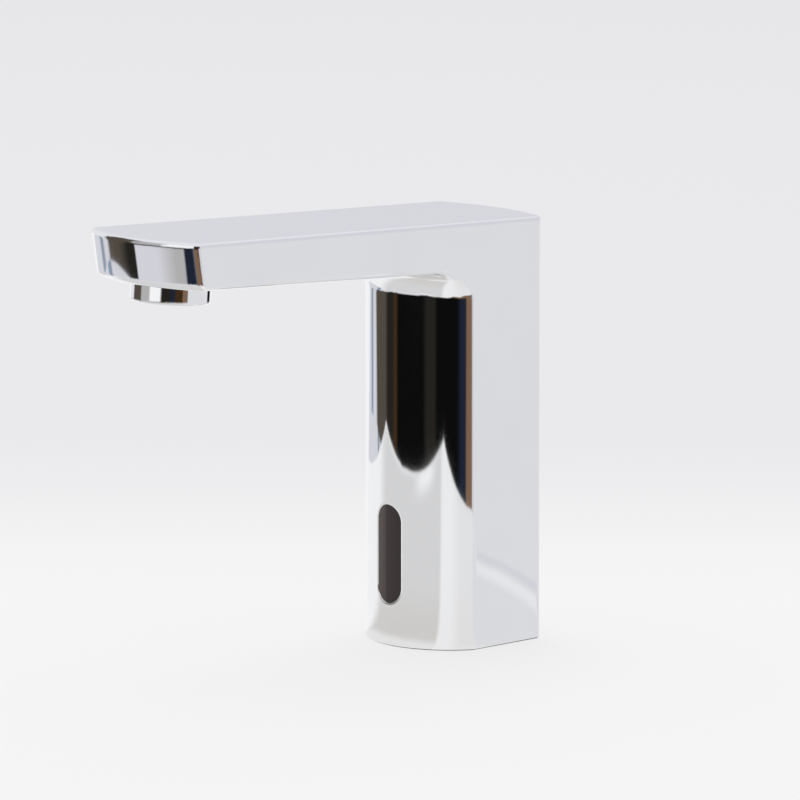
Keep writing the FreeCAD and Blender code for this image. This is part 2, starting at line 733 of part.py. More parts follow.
def make_inlet_block_screws():
    """Two screws that hold the inlet block down."""
    screw = machine_screw(screw_radius, 2.6, 2.5, block_thickness + screw_depth)
    seat = plate_top + block_thickness
    return Part.makeCompound([placed(screw, V(x, 0, seat)) for x in block_screw_places])


def make_inlet_filter():
    """Basket filter: a rim, a slotted wall and a closed top."""
    rim = tube(inlet_bore - fit_gap, 3.2, filter_z, filter_z + 1.2, 0, inlet_y)
    basket = cylinder(4.2, filter_z, filter_z + 7, 0, inlet_y)
    hollow = cylinder(3.4, filter_z - 1, filter_z + 6.2, 0, inlet_y)
    slots = []
    for i in range(filter_slots):
        slot = box((0, 6), (-0.35, 0.35), (filter_z + 1.8, filter_z + 5.6))
        slot.rotate(V(0, 0, 0), V(0, 0, 1), 360 * i / filter_slots)
        slot.translate(V(0, inlet_y, 0))
        slots.append(slot)
    return joined([rim, basket]).cut([hollow] + slots)


def make_check_housing():
    """Sleeve of the non-return valve with its seat, standing on the filter's rim."""
    sleeve = tube(inlet_bore - fit_gap, check_bore, filter_z + 1.2, check_top, 0, inlet_y)
    seat = tube(inlet_bore - 0.5, check_seat_bore, check_z - 2, check_z, 0, inlet_y)
    return joined([sleeve, seat])


def make_check_poppet():
    """Disc that closes the seat, and its guiding stem."""
    head = Part.makeCone(check_seat_bore + 0.9, check_seat_bore + 0.3, poppet_thickness,
                         V(0, inlet_y, check_z))
    stem = cylinder(poppet_stem, check_z + poppet_thickness / 2, check_top + 2, 0, inlet_y)
    return joined([head, stem])


def make_check_guide():
    """Hub on three arms that guides the poppet's stem and backs its spring."""
    low = check_top - guide_thickness
    rim = tube(check_bore - slide_gap, check_bore - 0.8, low, check_top, 0, inlet_y)
    hub = cylinder(3.0, low, check_top, 0, inlet_y)
    arms = []
    for i in range(3):
        arm = box((0, check_bore - 0.4), (-0.6, 0.6), (low, check_top))
        arm.rotate(V(0, 0, 0), V(0, 0, 1), 90 + 120 * i)
        arm.translate(V(0, inlet_y, 0))
        arms.append(arm)
    hole = cylinder(poppet_stem + slide_gap, low - 1, check_top + 1, 0, inlet_y)
    return joined([rim, hub] + arms).cut(hole)


def make_cable_grommet():
    """Rubber grommet where the sensor's cable would leave the tap."""
    low, top = plate_top, plate_top + block_thickness
    lips = [cylinder(grommet_radius + 0.6, top, top + 1, 0, grommet_y),
            cylinder(grommet_radius + 0.6, low - 1, low, 0, grommet_y)]
    bore = cylinder(grommet_bore, low - 2, top + 2, 0, grommet_y)
    return joined([cylinder(grommet_radius - 0.02, low - 1, top + 1, 0, grommet_y)] + lips).cut(bore)


def make_riser_pipe():
    """Straight pipe from the inlet block up to the valve."""
    return tube(riser_radius, riser_bore, riser_start, riser_end, 0, inlet_y)


def make_riser_seals():
    """O-rings in the grooves round the riser's two ends."""
    return Part.makeCompound([ring(riser_radius + 0.55, 0.46, z, 0, inlet_y)
                              for z in (riser_seal_low, riser_seal_high)])


# ---- Solenoid valve ----
def make_valve_stays():
    """Two hexagonal pillars that carry the valve on the base plate."""
    stays = []
    for x, y in stay_places:
        pillar = hexagon(stay_flats, plate_top, valve_base, x, y)
        studs = cylinder(screw_radius, plate_top - screw_depth, valve_base + screw_depth, x, y)
        stays.append(joined([pillar, studs]))
    return Part.makeCompound(stays)


def make_valve_body():
    """Moulded body: riser socket, ring-shaped inlet chamber, seat, and the outlet pipe's socket."""
    main = cylinder(valve_radius, valve_base, valve_top, 0, valve_y)
    nose = box((-nose_half, nose_half), (pipe_start.y - nose_half + 2.2, valve_y), (nose_base, valve_top))
    socket = cylinder(inlet_bore, valve_base - 1, valve_base + socket_depth, 0, inlet_y)
    groove = cylinder(inlet_bore + 1, riser_seal_high - seal_width / 2, riser_seal_high + seal_width / 2,
                      0, inlet_y)
    lower_way = cylinder(seat_bore, valve_base, channel_z + channel_radius + 0.5, 0, inlet_y)
    channel = cylinder_y(channel_radius, inlet_y, feed_y + feed_radius + 0.8, 0, channel_z)
    feed = cylinder(feed_radius, channel_z - 1, chamber_floor + 1, 0, feed_y)
    ring_chamber = tube(chamber_outer, seat_radius, chamber_floor, valve_top + 1, 0, valve_y)
    above_seat = cylinder(chamber_outer, seat_z, valve_top + 1, 0, valve_y)
    seat_way = cylinder(seat_bore, outlet_way_z - outlet_way_radius - 0.5, valve_top + 1, 0, valve_y)
    outlet_way = cylinder_y(outlet_way_radius, pipe_start.y, valve_y, 0, outlet_way_z)
    socket_floor = outlet_way_z - outlet_way_radius - 0.3
    outlet_socket = cylinder(pipe_radius + slide_gap, socket_floor, valve_top + 1, 0, pipe_start.y)
    outlet_groove = cylinder(seal_groove, valve_seal_z - seal_width / 2, valve_seal_z + seal_width / 2,
                             0, pipe_start.y)
    screws = [cylinder(screw_radius + slide_gap, valve_top - 8, valve_top + 1, x, y)
              for x, y in bonnet_screw_places]
    screws += [cylinder(screw_radius + slide_gap, valve_base - 1, valve_base + screw_depth + 1, x, y)
               for x, y in stay_places]
    body = joined([main, nose])
    return body.cut([socket, groove, lower_way, channel, feed, ring_chamber, above_seat, seat_way,
                     outlet_way, outlet_socket, outlet_groove] + screws)


def make_main_piston():
    """Piston that closes the seat, with a pilot hole in its raised centre."""
    disc = cylinder(piston_radius, seat_z, seat_z + piston_height, 0, valve_y)
    pilot = cylinder(1.5, seat_z, pilot_z, 0, valve_y)
    hole = cylinder(0.6, seat_z - 1, pilot_z + 1, 0, valve_y)
    groove = tube(piston_radius + 1, piston_radius - 1, seat_z + 1.5, seat_z + 3.0, 0, valve_y)
    bleed = cylinder(0.4, seat_z - 1, pilot_z, 0, valve_y + seat_radius + 2)
    return joined([disc, pilot]).cut([hole, groove, bleed])


def make_piston_seal():
    """Sealing ring in the piston's groove."""
    return tube(chamber_outer - slide_gap, piston_radius - 0.95, seat_z + 1.55, seat_z + 2.95, 0, valve_y)


def make_valve_bonnet():
    """Cover over the piston, with the armature tube's seat in its roof."""
    block = cylinder(valve_radius, valve_top, bonnet_top, 0, valve_y)
    chamber = cylinder(chamber_outer, valve_top - 1, bonnet_chamber_top, 0, valve_y)
    seat = cylinder(tube_flange + fit_gap, bonnet_chamber_top - 1, bonnet_chamber_top + 1.5, 0, valve_y)
    hole = cylinder(tube_radius + fit_gap, bonnet_chamber_top, bonnet_top + 1, 0, valve_y)
    holes = []
    for x, y in bonnet_screw_places:
        holes.append(cylinder(screw_radius + fit_gap, valve_top - 1, bonnet_top + 1, x, y))
        holes.append(cylinder(2.9, bonnet_top - 2.5, bonnet_top + 1, x, y))
    return block.cut([chamber, seat, hole] + holes)


def make_bonnet_screws():
    """Four screws sunk in the bonnet's corners."""
    screw = machine_screw(screw_radius, 2.6, 2.4, bonnet_top - valve_top + 4)
    return Part.makeCompound([placed(screw, V(x, y, bonnet_top - 2.5)) for x, y in bonnet_screw_places])


def make_armature_tube():
    """Closed steel tube that the plunger slides in, with a flange below and a stud on top."""
    low = bonnet_chamber_top
    flange = cylinder(tube_flange, low, low + 1.4, 0, valve_y)
    barrel = cylinder(tube_radius, low, tube_top, 0, valve_y)
    stud = cylinder(stud_radius, tube_top, stud_top, 0, valve_y)
    bore = cylinder(plunger_radius + slide_gap, low - 1, tube_top - tube_roof, 0, valve_y)
    return joined([flange, barrel, stud]).cut(bore)


def make_pole_piece():
    """Fixed iron core at the top of the armature tube."""
    return cylinder(plunger_radius, pole_z, tube_top - tube_roof, 0, valve_y)


def make_plunger():
    """Moving iron core, bored for its spring above and for its rubber tip below."""
    bar = cylinder(plunger_radius, plunger_z, plunger_top, 0, valve_y)
    tip_hole = cylinder(tip_radius_rubber, plunger_z - 1, plunger_z + 1.5, 0, valve_y)
    spring_hole = cylinder(spring_pocket, spring_floor, plunger_top + 1, 0, valve_y)
    flat = box((plunger_radius - 0.4, plunger_radius + 1),
               (valve_y - plunger_radius, valve_y + plunger_radius), (plunger_z - 1, plunger_top + 1))
    return bar.cut([tip_hole, spring_hole] + mirrored_pair(flat))


def make_plunger_tip():
    """Rubber pad that closes the piston's pilot hole."""
    return cylinder(tip_radius_rubber, pilot_z, plunger_z + 1.5, 0, valve_y)


def make_solenoid_coil():
    """Moulded coil with its two contact blades."""
    coil = tube(coil_radius, tube_radius + fit_gap, coil_z, coil_top, 0, valve_y)
    block = box((-6, 6), (valve_y + coil_radius - 2, valve_y + coil_radius + 3.5), (coil_z + 2, coil_top - 2))
    block = block.cut(cylinder(coil_radius - 0.5, coil_z, coil_top, 0, valve_y))
    blades = [box((x - 1.4, x + 1.4), (valve_y + coil_radius + 3, valve_y + coil_radius + 6.8),
                  (coil_z + 6, coil_z + 6.8)) for x in (-3.2, 3.2)]
    return joined([coil, block] + blades)


def make_coil_yoke():
    """Steel strap round the coil that closes its magnetic path."""
    side = coil_radius + 0.3
    strap = box((-side - yoke_thickness, side + yoke_thickness), (valve_y - 9, valve_y + 9),
                (bonnet_top, coil_top + fit_gap + yoke_thickness))
    window = box((-side, side), (valve_y - 10, valve_y + 10), (coil_z, coil_top + fit_gap))
    holes = [cylinder(tube_radius + fit_gap, bonnet_top - 1, coil_z + 1, 0, valve_y),
             cylinder(stud_radius + fit_gap, coil_top, stud_top, 0, valve_y)]
    return strap.cut([window] + holes)


def make_coil_nut():
    """Nut on the armature tube's stud."""
    low = coil_top + fit_gap + yoke_thickness
    nut = hexagon(coil_nut_flats, low, stud_top - 1, 0, valve_y)
    return nut.cut(cylinder(stud_radius, low - 1, stud_top, 0, valve_y))


# ---- Outlet ----
def make_outlet_pipe():
    """Bent pipe from the valve to the outlet's chamber."""
    return pipe_solid(pipe_radius).cut(pipe_solid(pipe_bore, 1.0))


def make_pipe_seals():
    """O-rings round the outlet pipe's two ends."""
    run = (pipe_end - pipe_corner).normalize()
    seal = Part.makeTorus(pipe_radius + 0.5, 0.44)
    return Part.makeCompound([placed(seal, V(0, pipe_start.y, valve_seal_z)),
                              placed(seal, spout_seal_place, run)])


def make_aerator_shroud():
    """Chrome ring that screws into the outlet and holds the aerator on its inner lip."""
    visible = cylinder(ring_radius, 0, ring_height)
    rims = [e for e in visible.Edges if abs(e.CenterOfMass.z) < 0.01 and e.Closed]
    visible = visible.makeChamfer(0.6, rims[:1])
    neck = cylinder(thread_radius, ring_height, neck_top)
    throat = cylinder(lip_radius, -1, neck_top + 1)
    pocket = cylinder(cartridge_radius + fit_gap, lip_height, neck_top + 1)
    return outlet_placed(joined([visible, neck]).cut([throat, pocket]))


def make_aerator_cartridge():
    """Jet insert: a short barrel with ribs across its mouth."""
    barrel = tube(cartridge_radius, cartridge_radius - 1.2, lip_height, cartridge_top)
    shelf = cylinder(cartridge_radius - 0.5, cartridge_top - 2.5, cartridge_top - 1)
    jets = [cylinder(0.6, cartridge_top - 3, cartridge_top, 6.2 * math.cos(math.radians(angle)),
                     6.2 * math.sin(math.radians(angle))) for angle in range(0, 360, 30)]
    middle = cylinder(1.2, cartridge_top - 3, cartridge_top)
    grid = []
    for i in range(-3, 4):
        place = i * cartridge_radius / 4
        reach = math.sqrt(cartridge_radius ** 2 - place ** 2) - 0.6
        grid.append(box((-reach, reach), (place - 0.3, place + 0.3), (lip_height, lip_height + 1.5)))
        grid.append(box((place - 0.3, place + 0.3), (-reach, reach), (lip_height, lip_height + 1.5)))
    return outlet_placed(joined([barrel, shelf] + grid).cut(jets + [middle]))


def make_aerator_screen():
    """Dished inlet screen on the cartridge."""
    rise = screen_rise
    reach = washer_bore - 0.2
    dome_radius = bow_radius(reach, rise)
    centre = V(0, 0, cartridge_top + rise - dome_radius)
    dome = Part.makeSphere(dome_radius, centre).cut(Part.makeSphere(dome_radius - 0.4, centre))
    dome = dome.common(cylinder(reach, cartridge_top, cartridge_top + rise + 1))
    return outlet_placed(dome)


def make_flow_regulator():
    """Rubber ring on its small disc, above the jets."""
    disc = tube(4.6, 1.6, cartridge_top, cartridge_top + 0.7)
    return outlet_placed(disc)


def make_aerator_washer():
    """Flat rubber washer that the shroud presses against the outlet's ledge."""
    return outlet_placed(tube(thread_radius - fit_gap, washer_bore, neck_top, thread_top - fit_gap))


def write(name, shape):
    """Write one sub-part's STEP file, after a look at its solids."""
    assert shape.isValid(), name
    assert shape.Volume > 0, name
    shape.exportStep(f"parts/{name}.step")


def main():
    """Make every sub-part and write it."""
    os.makedirs("parts", exist_ok=True)
    pieces = {
        "tap_body": make_tap_body(),
        "base_seal": make_base_seal(),
        "sensor_window": make_sensor_window(),
        "window_gasket": make_window_gasket(),
        "sensor_housing": make_sensor_housing(),
        "sensor_lid": make_sensor_lid(),
        "circuit_board": make_circuit_board(),
        "infrared_emitter": make_infrared_eye(sensor_z + eye_spacing / 2),
        "infrared_receiver": make_infrared_eye(sensor_z - eye_spacing / 2),
        "sensor_screws": make_sensor_screws(),
        "base_plate": make_base_plate(),
        "base_plate_screws": make_base_plate_screws(),
        "shank": make_shank(),
        "clamp_gasket": clamp_disc(-deck_thickness, gasket_thickness, clamp_radius),
        "clamp_washer": clamp_disc(-deck_thickness - gasket_thickness, washer_thickness, clamp_radius - 0.5),
        "lock_nut": make_lock_nut(),
        "inlet_block": make_inlet_block(),
        "inlet_block_screws": make_inlet_block_screws(),
        "inlet_filter": make_inlet_filter(),
        "check_housing": make_check_housing(),
        "check_poppet": make_check_poppet(),
        "check_spring": coil_spring(check_spring_radius, check_wire_radius, check_z + poppet_thickness,
                                    check_top - guide_thickness, check_spring_turns, 0, inlet_y),
        "check_guide": make_check_guide(),
        "cable_grommet": make_cable_grommet(),
        "riser_pipe": make_riser_pipe(),
        "riser_seals": make_riser_seals(),
        "valve_stays": make_valve_stays(),
        "valve_body": make_valve_body(),
        "main_piston": make_main_piston(),
        "piston_seal": make_piston_seal(),
        "valve_bonnet": make_valve_bonnet(),
        "bonnet_screws": make_bonnet_screws(),
        "armature_tube": make_armature_tube(),
        "pole_piece": make_pole_piece(),
        "plunger": make_plunger(),
        "plunger_tip": make_plunger_tip(),
        "plunger_spring": coil_spring(plunger_spring_radius, plunger_wire_radius, spring_floor, pole_z,
                                      plunger_spring_turns, 0, valve_y),
        "solenoid_coil": make_solenoid_coil(),
        "coil_yoke": make_coil_yoke(),
        "coil_nut": make_coil_nut(),
        "outlet_pipe": make_outlet_pipe(),
        "pipe_seals": make_pipe_seals(),
        "aerator_shroud": make_aerator_shroud(),
        "aerator_cartridge": make_aerator_cartridge(),
        "aerator_screen": make_aerator_screen(),
        "flow_regulator": make_flow_regulator(),
        "aerator_washer": make_aerator_washer(),
    }
    for name, shape in pieces.items():
        write(name, shape)
    print(f"{len(pieces)} pieces")


main()
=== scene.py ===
"""Finishes, threads and studio of the sensor tap, laid out as an add-on and run as a script."""

import json
import math

import bmesh
import bpy
from mathutils import Matrix, Vector


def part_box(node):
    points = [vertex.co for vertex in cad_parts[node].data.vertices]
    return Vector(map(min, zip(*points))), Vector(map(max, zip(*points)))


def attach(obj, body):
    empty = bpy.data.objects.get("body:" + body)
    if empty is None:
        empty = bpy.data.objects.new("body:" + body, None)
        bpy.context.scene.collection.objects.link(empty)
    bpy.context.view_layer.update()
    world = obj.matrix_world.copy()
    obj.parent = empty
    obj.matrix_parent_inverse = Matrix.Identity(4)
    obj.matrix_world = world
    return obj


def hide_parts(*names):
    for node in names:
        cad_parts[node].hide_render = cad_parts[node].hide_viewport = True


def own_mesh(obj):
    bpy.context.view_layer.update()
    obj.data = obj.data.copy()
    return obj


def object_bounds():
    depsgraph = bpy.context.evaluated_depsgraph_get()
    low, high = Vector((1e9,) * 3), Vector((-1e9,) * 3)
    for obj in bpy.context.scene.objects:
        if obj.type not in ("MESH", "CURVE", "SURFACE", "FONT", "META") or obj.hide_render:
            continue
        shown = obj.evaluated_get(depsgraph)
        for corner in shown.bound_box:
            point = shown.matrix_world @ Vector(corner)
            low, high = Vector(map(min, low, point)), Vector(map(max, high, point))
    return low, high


bl_info = {
    "name": "Sensor Tap",
    "version": (1, 0, 0),
    "blender": (4, 5, 0),
    "location": "3D View > Sidebar > Sensor Tap",
    "description": "Dresses a deck-mounted sensor tap and sets it in a pale studio",
    "category": "Object",
}

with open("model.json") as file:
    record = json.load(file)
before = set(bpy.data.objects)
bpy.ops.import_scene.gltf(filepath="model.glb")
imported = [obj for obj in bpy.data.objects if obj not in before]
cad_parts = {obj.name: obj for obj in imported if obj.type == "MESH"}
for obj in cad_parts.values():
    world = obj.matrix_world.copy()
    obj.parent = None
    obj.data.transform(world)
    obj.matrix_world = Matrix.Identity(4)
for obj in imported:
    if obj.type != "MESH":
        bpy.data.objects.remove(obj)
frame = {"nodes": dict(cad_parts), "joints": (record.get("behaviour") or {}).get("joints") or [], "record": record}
NODES = frame["nodes"]
JOINTS = {joint["name"]: joint for joint in frame["joints"]}
CAD_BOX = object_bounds()
SHANK_LOW, SHANK_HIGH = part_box("shank")
NUT_LOW, NUT_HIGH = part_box("lock_nut")


# ---- Settings ----
def length(name, description, default, low=0.0, high=10.0):
    """Property of a length in metres."""
    return bpy.props.FloatProperty(name=name, description=description, default=default,
                                   min=low, max=high, unit="LENGTH", precision=5)


def share(name, description, default):
    """Property between 0 and 1."""
    return bpy.props.FloatProperty(name=name, description=description, default=default,
                                   min=0.0, max=1.0)


def colour(name, description, default):
    """Property of a colour."""
    return bpy.props.FloatVectorProperty(name=name, description=description, default=default,
                                         subtype="COLOR", min=0.0, max=1.0)


def angle(name, description, degrees):
    """Property of an angle, whose default is given in degrees."""
    return bpy.props.FloatProperty(name=name, description=description,
                                   default=math.radians(degrees), subtype="ANGLE")


class FinishSettings(bpy.types.PropertyGroup):
    """Colours and gloss of the tap's materials."""
    chrome: colour("Chrome", "Plated casting", (0.895, 0.90, 0.912))
    chrome_roughness: share("Chrome roughness", "Of the polished plating", 0.035)
    lens_left: colour("Lens, left", "Sensor window, its left part", (0.052, 0.033, 0.032))
    lens_right: colour("Lens, right", "Sensor window, the rest", (0.015, 0.007, 0.005))
    lens_split: length("Lens split", "Where the window's tone changes, across the tap",
                       -0.0016, -0.1, 0.1)
    rubber: colour("Rubber", "Seals and gaskets", (0.020, 0.020, 0.022))
    brass: colour("Brass", "Shank, nut, base plate and inlet block", (0.74, 0.54, 0.27))
    steel: colour("Steel", "Washer, screws, springs and valve tube", (0.60, 0.60, 0.61))
    white: colour("White plastic", "Aerator, pipes and piston", (0.80, 0.81, 0.80))
    grey: colour("Grey plastic", "Valve body and bonnet", (0.30, 0.31, 0.32))
    black: colour("Black plastic", "Sensor case", (0.028, 0.028, 0.030))
    coil: colour("Coil", "Moulded solenoid coil", (0.05, 0.14, 0.34))
    board: colour("Circuit board", "Solder mask", (0.015, 0.15, 0.06))
    eye: colour("Infrared eyes", "Clear tinted epoxy", (0.30, 0.26, 0.36))


class FixingSettings(bpy.types.PropertyGroup):
    """Sizes of the threaded shank and its nut, under the deck."""
    pitch: length("Thread pitch", "Of the shank's thread", 0.0015, 0.0005, 0.004)
    depth: length("Thread depth", "From crest to root", 0.0008, 0.0002, 0.002)
    bore: length("Shank bore", "Radius of the way for hose and cable", 0.0135, 0.005, 0.015)
    thread_top: length("Thread top", "Where the thread ends, under the deck's face",
                       0.004, 0.0, 0.02)
    flats: length("Nut flats", "Width of the lock nut across its flats", 0.040, 0.034, 0.06)
    nut_chamfer: length("Nut chamfer", "Narrowing of the nut's ends at its corners",
                        0.0022, 0.0002, 0.004)
    steps: bpy.props.IntProperty(name="Steps a turn",
                                 description="Segments in each turn of the thread",
                                 default=60, min=12, max=128)


class OutletSettings(bpy.types.PropertyGroup):
    """Sizes of the aerator's jet insert."""
    radius: length("Radius", "Of the insert's barrel", 0.0101, 0.005, 0.02)
    low: length("Lower end", "Of the insert, above the ring's rim", 0.0010, 0.0, 0.01)
    high: length("Upper end", "Of the insert, above the ring's rim", 0.0112, 0.0, 0.03)
    wall: length("Wall", "Of the barrel", 0.0012, 0.0004, 0.004)
    cell: length("Cell", "Pitch of the honeycomb's cells", 0.00165, 0.0005, 0.004)
    web: length("Web", "Wall between two cells", 0.00026, 0.0001, 0.001)
    comb: length("Comb height", "Height of the honeycomb", 0.0025, 0.0003, 0.005)


class StudioSettings(bpy.types.PropertyGroup):
    """Camera, deck and light round the tap."""
    azimuth: angle("Camera azimuth", "Round the tap, from its front towards its right", 47.23)
    elevation: angle("Camera elevation", "Above the deck", 9.48)
    distance: length("Camera distance", "Along the view, from the tap's axis", 2.442763)
    left: length("Camera left", "Sideways from the tap's axis", 0.015974, -1.0, 1.0)
    up: length("Camera up", "Along the picture's height, from the tap's lower edge",
               0.083879, -1.0, 1.0)
    lens: bpy.props.FloatProperty(name="Lens", description="Focal length on a 36 mm sensor, in mm",
                                  default=306.788, min=10.0, max=500.0)
    deck_left: length("Deck, left edge", "From the tap's axis", 0.376)
    deck_right: length("Deck, right edge", "From the tap's axis", 0.292)
    deck_front_left: length("Deck, front edge at its left", "From the tap's axis", 0.324)
    deck_front_right: length("Deck, front edge at its right", "From the tap's axis", 0.366)
    deck_bow: length("Deck bow", "Of the front edge", 0.037)
    apron_drop: length("Apron drop", "Of the ledge before the deck's front edge", 0.050)
    apron_reach: length("Apron reach", "In front of the tap", 0.560)
    apron_width: length("Apron width", "To the left of the tap", 0.800)
    near: colour("Deck", "Near the tap and in front of it", (0.905, 0.902, 0.905))
    far: colour("Far floor", "Behind the tap", (0.80, 0.793, 0.81))
    # Deck in the metal: to glossy rays the deck glows with these tones and takes no light, so they are painted
    # light and shade: a dim deck, painted shade by the tap's foot, a lighter side, and painted light at the deck's
    # edges and right side.
    mirrored: colour("Deck in the metal", "Where the chrome mirrors it", (0.715, 0.713, 0.713))
    mirrored_foot_shade: colour("Deck by the tap, in the metal", "Warmer at the tap's foot",
                          (0.685, 0.665, 0.640))
    mirrored_side: colour("Deck beside the tap, in the metal", "To its right and behind it",
                          (0.78, 0.78, 0.80))
    mirrored_painted_light: colour("Bright deck in the metal", "Its edges and its right side",
                            (0.96, 0.96, 0.965))
    ambient: colour("Ambient light", "From all round", (0.80, 0.80, 0.81))
    backdrop: colour("Backdrop", "What the camera sees past the floor", (0.84, 0.84, 0.85))
    lamp_power: bpy.props.FloatProperty(name="Lamp power",
                                        description="Of the overhead lamp, in W",
                                        default=26.0, min=0.0, max=500.0)


FINISHES = {}


# ---- Node trees ----
class Value:
    """A node's output, on which sums can be written as expressions."""

    def __init__(self, tree, socket):
        self.tree = tree
        self.socket = socket

    def maths(self, operation, *values):
        return self.tree.maths(operation, *values)

    def __add__(self, other):
        return self.maths("ADD", self, other)

    __radd__ = __add__

    def __sub__(self, other):
        return self.maths("SUBTRACT", self, other)

    def __rsub__(self, other):
        return self.maths("SUBTRACT", other, self)

    def __mul__(self, other):
        return self.maths("MULTIPLY", self, other)

    __rmul__ = __mul__

    def __truediv__(self, other):
        return self.maths("DIVIDE", self, other)

    def __rtruediv__(self, other):
        return self.maths("DIVIDE", other, self)

    def __gt__(self, other):
        return self.maths("GREATER_THAN", self, other)

    def rise(self, low, high):
        """0 below low, 1 above high, smooth between them."""
        return self.tree.add("ShaderNodeMapRange", {"interpolation_type": "SMOOTHSTEP"},
                             {"Value": self, "From Min": low, "From Max": high})

    def band(self, start, full, fade, end):
        """0 below start, 1 from full to fade, 0 above end, smooth between them."""
        return self.rise(start, full) * (1 - self.rise(fade, end))


class Tree:
    """A node tree in the making, with one method for every kind of node."""

    def __init__(self, nodes):
        self.nodes = nodes
        nodes.nodes.clear()

    def node(self, kind, settings=None, values=None):
        """A node of a kind: its settings first, then its sockets' values or links."""
        node = self.nodes.nodes.new(kind)
        for key, value in (settings or {}).items():
            if key == "stops":
                self.set_stops(node.color_ramp, value)
            else:
                setattr(node, key, value)
        items = values.items() if isinstance(values, dict) else enumerate(values or [])
        for key, value in items:
            self.put(node.inputs[key], value)
        return node

    def add(self, kind, settings=None, values=None, output=0):
        """One output of a new node."""
        return Value(self, self.node(kind, settings, values).outputs[output])

    def set_stops(self, ramp, stops):
        """Places and colours of a ramp."""
        while len(ramp.elements) < len(stops):
            ramp.elements.new(1.0)
        for element, (place, rgb) in zip(ramp.elements, stops):
            element.position = place
            element.color = (*rgb, 1.0)

    def put(self, socket, value):
        """A plain value, or another node's output, on a socket."""
        if isinstance(value, Value):
            self.nodes.links.new(value.socket, socket)
        elif hasattr(value, "__len__") and not isinstance(value, str):
            wanted = len(socket.default_value)
            socket.default_value = (tuple(value) + (1.0,))[:wanted]
        else:
            socket.default_value = value

    def maths(self, operation, *values):
        """A Math node of values and links."""
        return self.add("ShaderNodeMath", {"operation": operation}, list(values))

    def largest(self, first, *others):
        """The largest of some values."""
        for other in others:
            first = self.maths("MAXIMUM", first, other)
        return first

    def away(self, x, y):
        """Distance of a point from the origin, in a plane."""
        return self.maths("SQRT", x * x + y * y)

    def degrees(self, across, ahead):
        """Angle in degrees of a direction from straight ahead."""
        return self.maths("ARCTAN2", across, ahead) * (180 / math.pi)

    def parts(self, vector):
        """x, y and z of a vector."""
        node = self.node("ShaderNodeSeparateXYZ", None, [vector])
        return [Value(self, output) for output in node.outputs]

    def rays(self, *kinds):
        """Values that are 1 for rays of some kinds."""
        node = self.node("ShaderNodeLightPath")
        return [Value(self, node.outputs[kind]) for kind in kinds]

    def mix(self, factor, first, second):
        """Colour between two."""
        return self.add("ShaderNodeMix", {"data_type": "RGBA"},
                        {0: factor, 6: first, 7: second}, output=2)


class Finish(Tree):
    """A material in the making."""

    def __init__(self, name, kind="ShaderNodeBsdfPrincipled"):
        material = bpy.data.materials.new(name)
        material.use_nodes = True
        super().__init__(material.node_tree)
        self.shader = self.node(kind)
        self.surface = Value(self, self.shader.outputs[0])
        self.output = self.node("ShaderNodeOutputMaterial", None, {"Surface": self.surface})
        FINISHES[name] = material

    def set(self, values):
        """Values or links of the shader's sockets."""
        for key, value in values.items():
            self.put(self.shader.inputs[key], value)
        return self

    def place(self):
        """Object coordinates, in metres."""
        return self.add("ShaderNodeTexCoord", output="Object")

    def noise(self, vector, size, detail=3.0, roughness=0.5, stretch=(1, 1, 1)):
        """Noise between 0 and 1, with features of about a size in metres."""
        sized = self.add("ShaderNodeMapping", None, {
            "Vector": vector, "Scale": [s / size for s in stretch]})
        return self.add("ShaderNodeTexNoise", None, {
            "Vector": sized, "Scale": 1.0, "Detail": detail, "Roughness": roughness})

    def bump(self, height, depth, evened=0.0):
        """Relief of a depth in metres on the normal, which can be evened over a radius first."""
        relief = {"Height": height, "Distance": depth}
        if evened:
            relief["Normal"] = self.add("ShaderNodeBevel", {"samples": 8}, {"Radius": evened})
        return self.set({"Normal": self.add("ShaderNodeBump", None, relief)})


class Pattern(Tree):
    """A geometry node group in the making, with named inputs."""

    def __init__(self, name, inputs):
        group = bpy.data.node_groups.new(name, "GeometryNodeTree")
        super().__init__(group)
        self.group = group
        for key, kind in inputs.items():
            group.interface.new_socket(key, in_out="INPUT", socket_type=kind)
        group.interface.new_socket("Geometry", in_out="OUTPUT", socket_type="NodeSocketGeometry")
        entry = self.node("NodeGroupInput")
        self.inputs = {key: Value(self, entry.outputs[key]) for key in inputs}

    def close(self, geometry, material):
        """Ends the tree: instances made real, and the material set."""
        real = self.add("GeometryNodeRealizeInstances", None, [geometry])
        dressed = self.add("GeometryNodeSetMaterial", None,
                           {"Geometry": real, "Material": material})
        self.node("NodeGroupOutput", None, [dressed])

    def mesh(self, name, values):
        """Plain mesh of the tree's result for some inputs."""
        holder = bpy.data.objects.new(name, bpy.data.meshes.new(name))
        bpy.context.scene.collection.objects.link(holder)
        modifier = holder.modifiers.new("Pattern", "NODES")
        modifier.node_group = self.group
        for item in self.group.interface.items_tree:
            if item.in_out == "INPUT":
                modifier[item.identifier] = values[item.name]
        evaluated = holder.evaluated_get(bpy.context.evaluated_depsgraph_get())
        result = bpy.data.meshes.new_from_object(evaluated)
        bpy.data.objects.remove(holder)
        return result


# ---- Materials ----
def scaled(rgb, factor):
    """A colour made lighter or darker."""
    return tuple(min(1.0, c * factor) for c in rgb)


def chrome_finish(name, base, roughness, seed):
    """Polished plating: faint smudges in the gloss, and the slight waviness of a buffed casting."""
    finish = Finish(name)
    moved = finish.add("ShaderNodeMapping", None, {
        "Vector": finish.place(), "Location": (seed, seed * 0.7, 0)})
    smudge = finish.noise(moved, size=0.030, detail=4.0)
    fine = finish.noise(moved, size=0.0012, detail=2.0)
    wave = finish.noise(moved, size=0.016, detail=1.0)
    finish.set({"Metallic": 1.0,
                "Base Color": finish.mix(smudge.rise(0.35, 0.75), base, scaled(base, 0.985)),
                "Roughness": roughness * (0.7 + 0.5 * smudge + 0.15 * fine)})
    return finish.bump(wave, depth=0.000012, evened=0.0012)


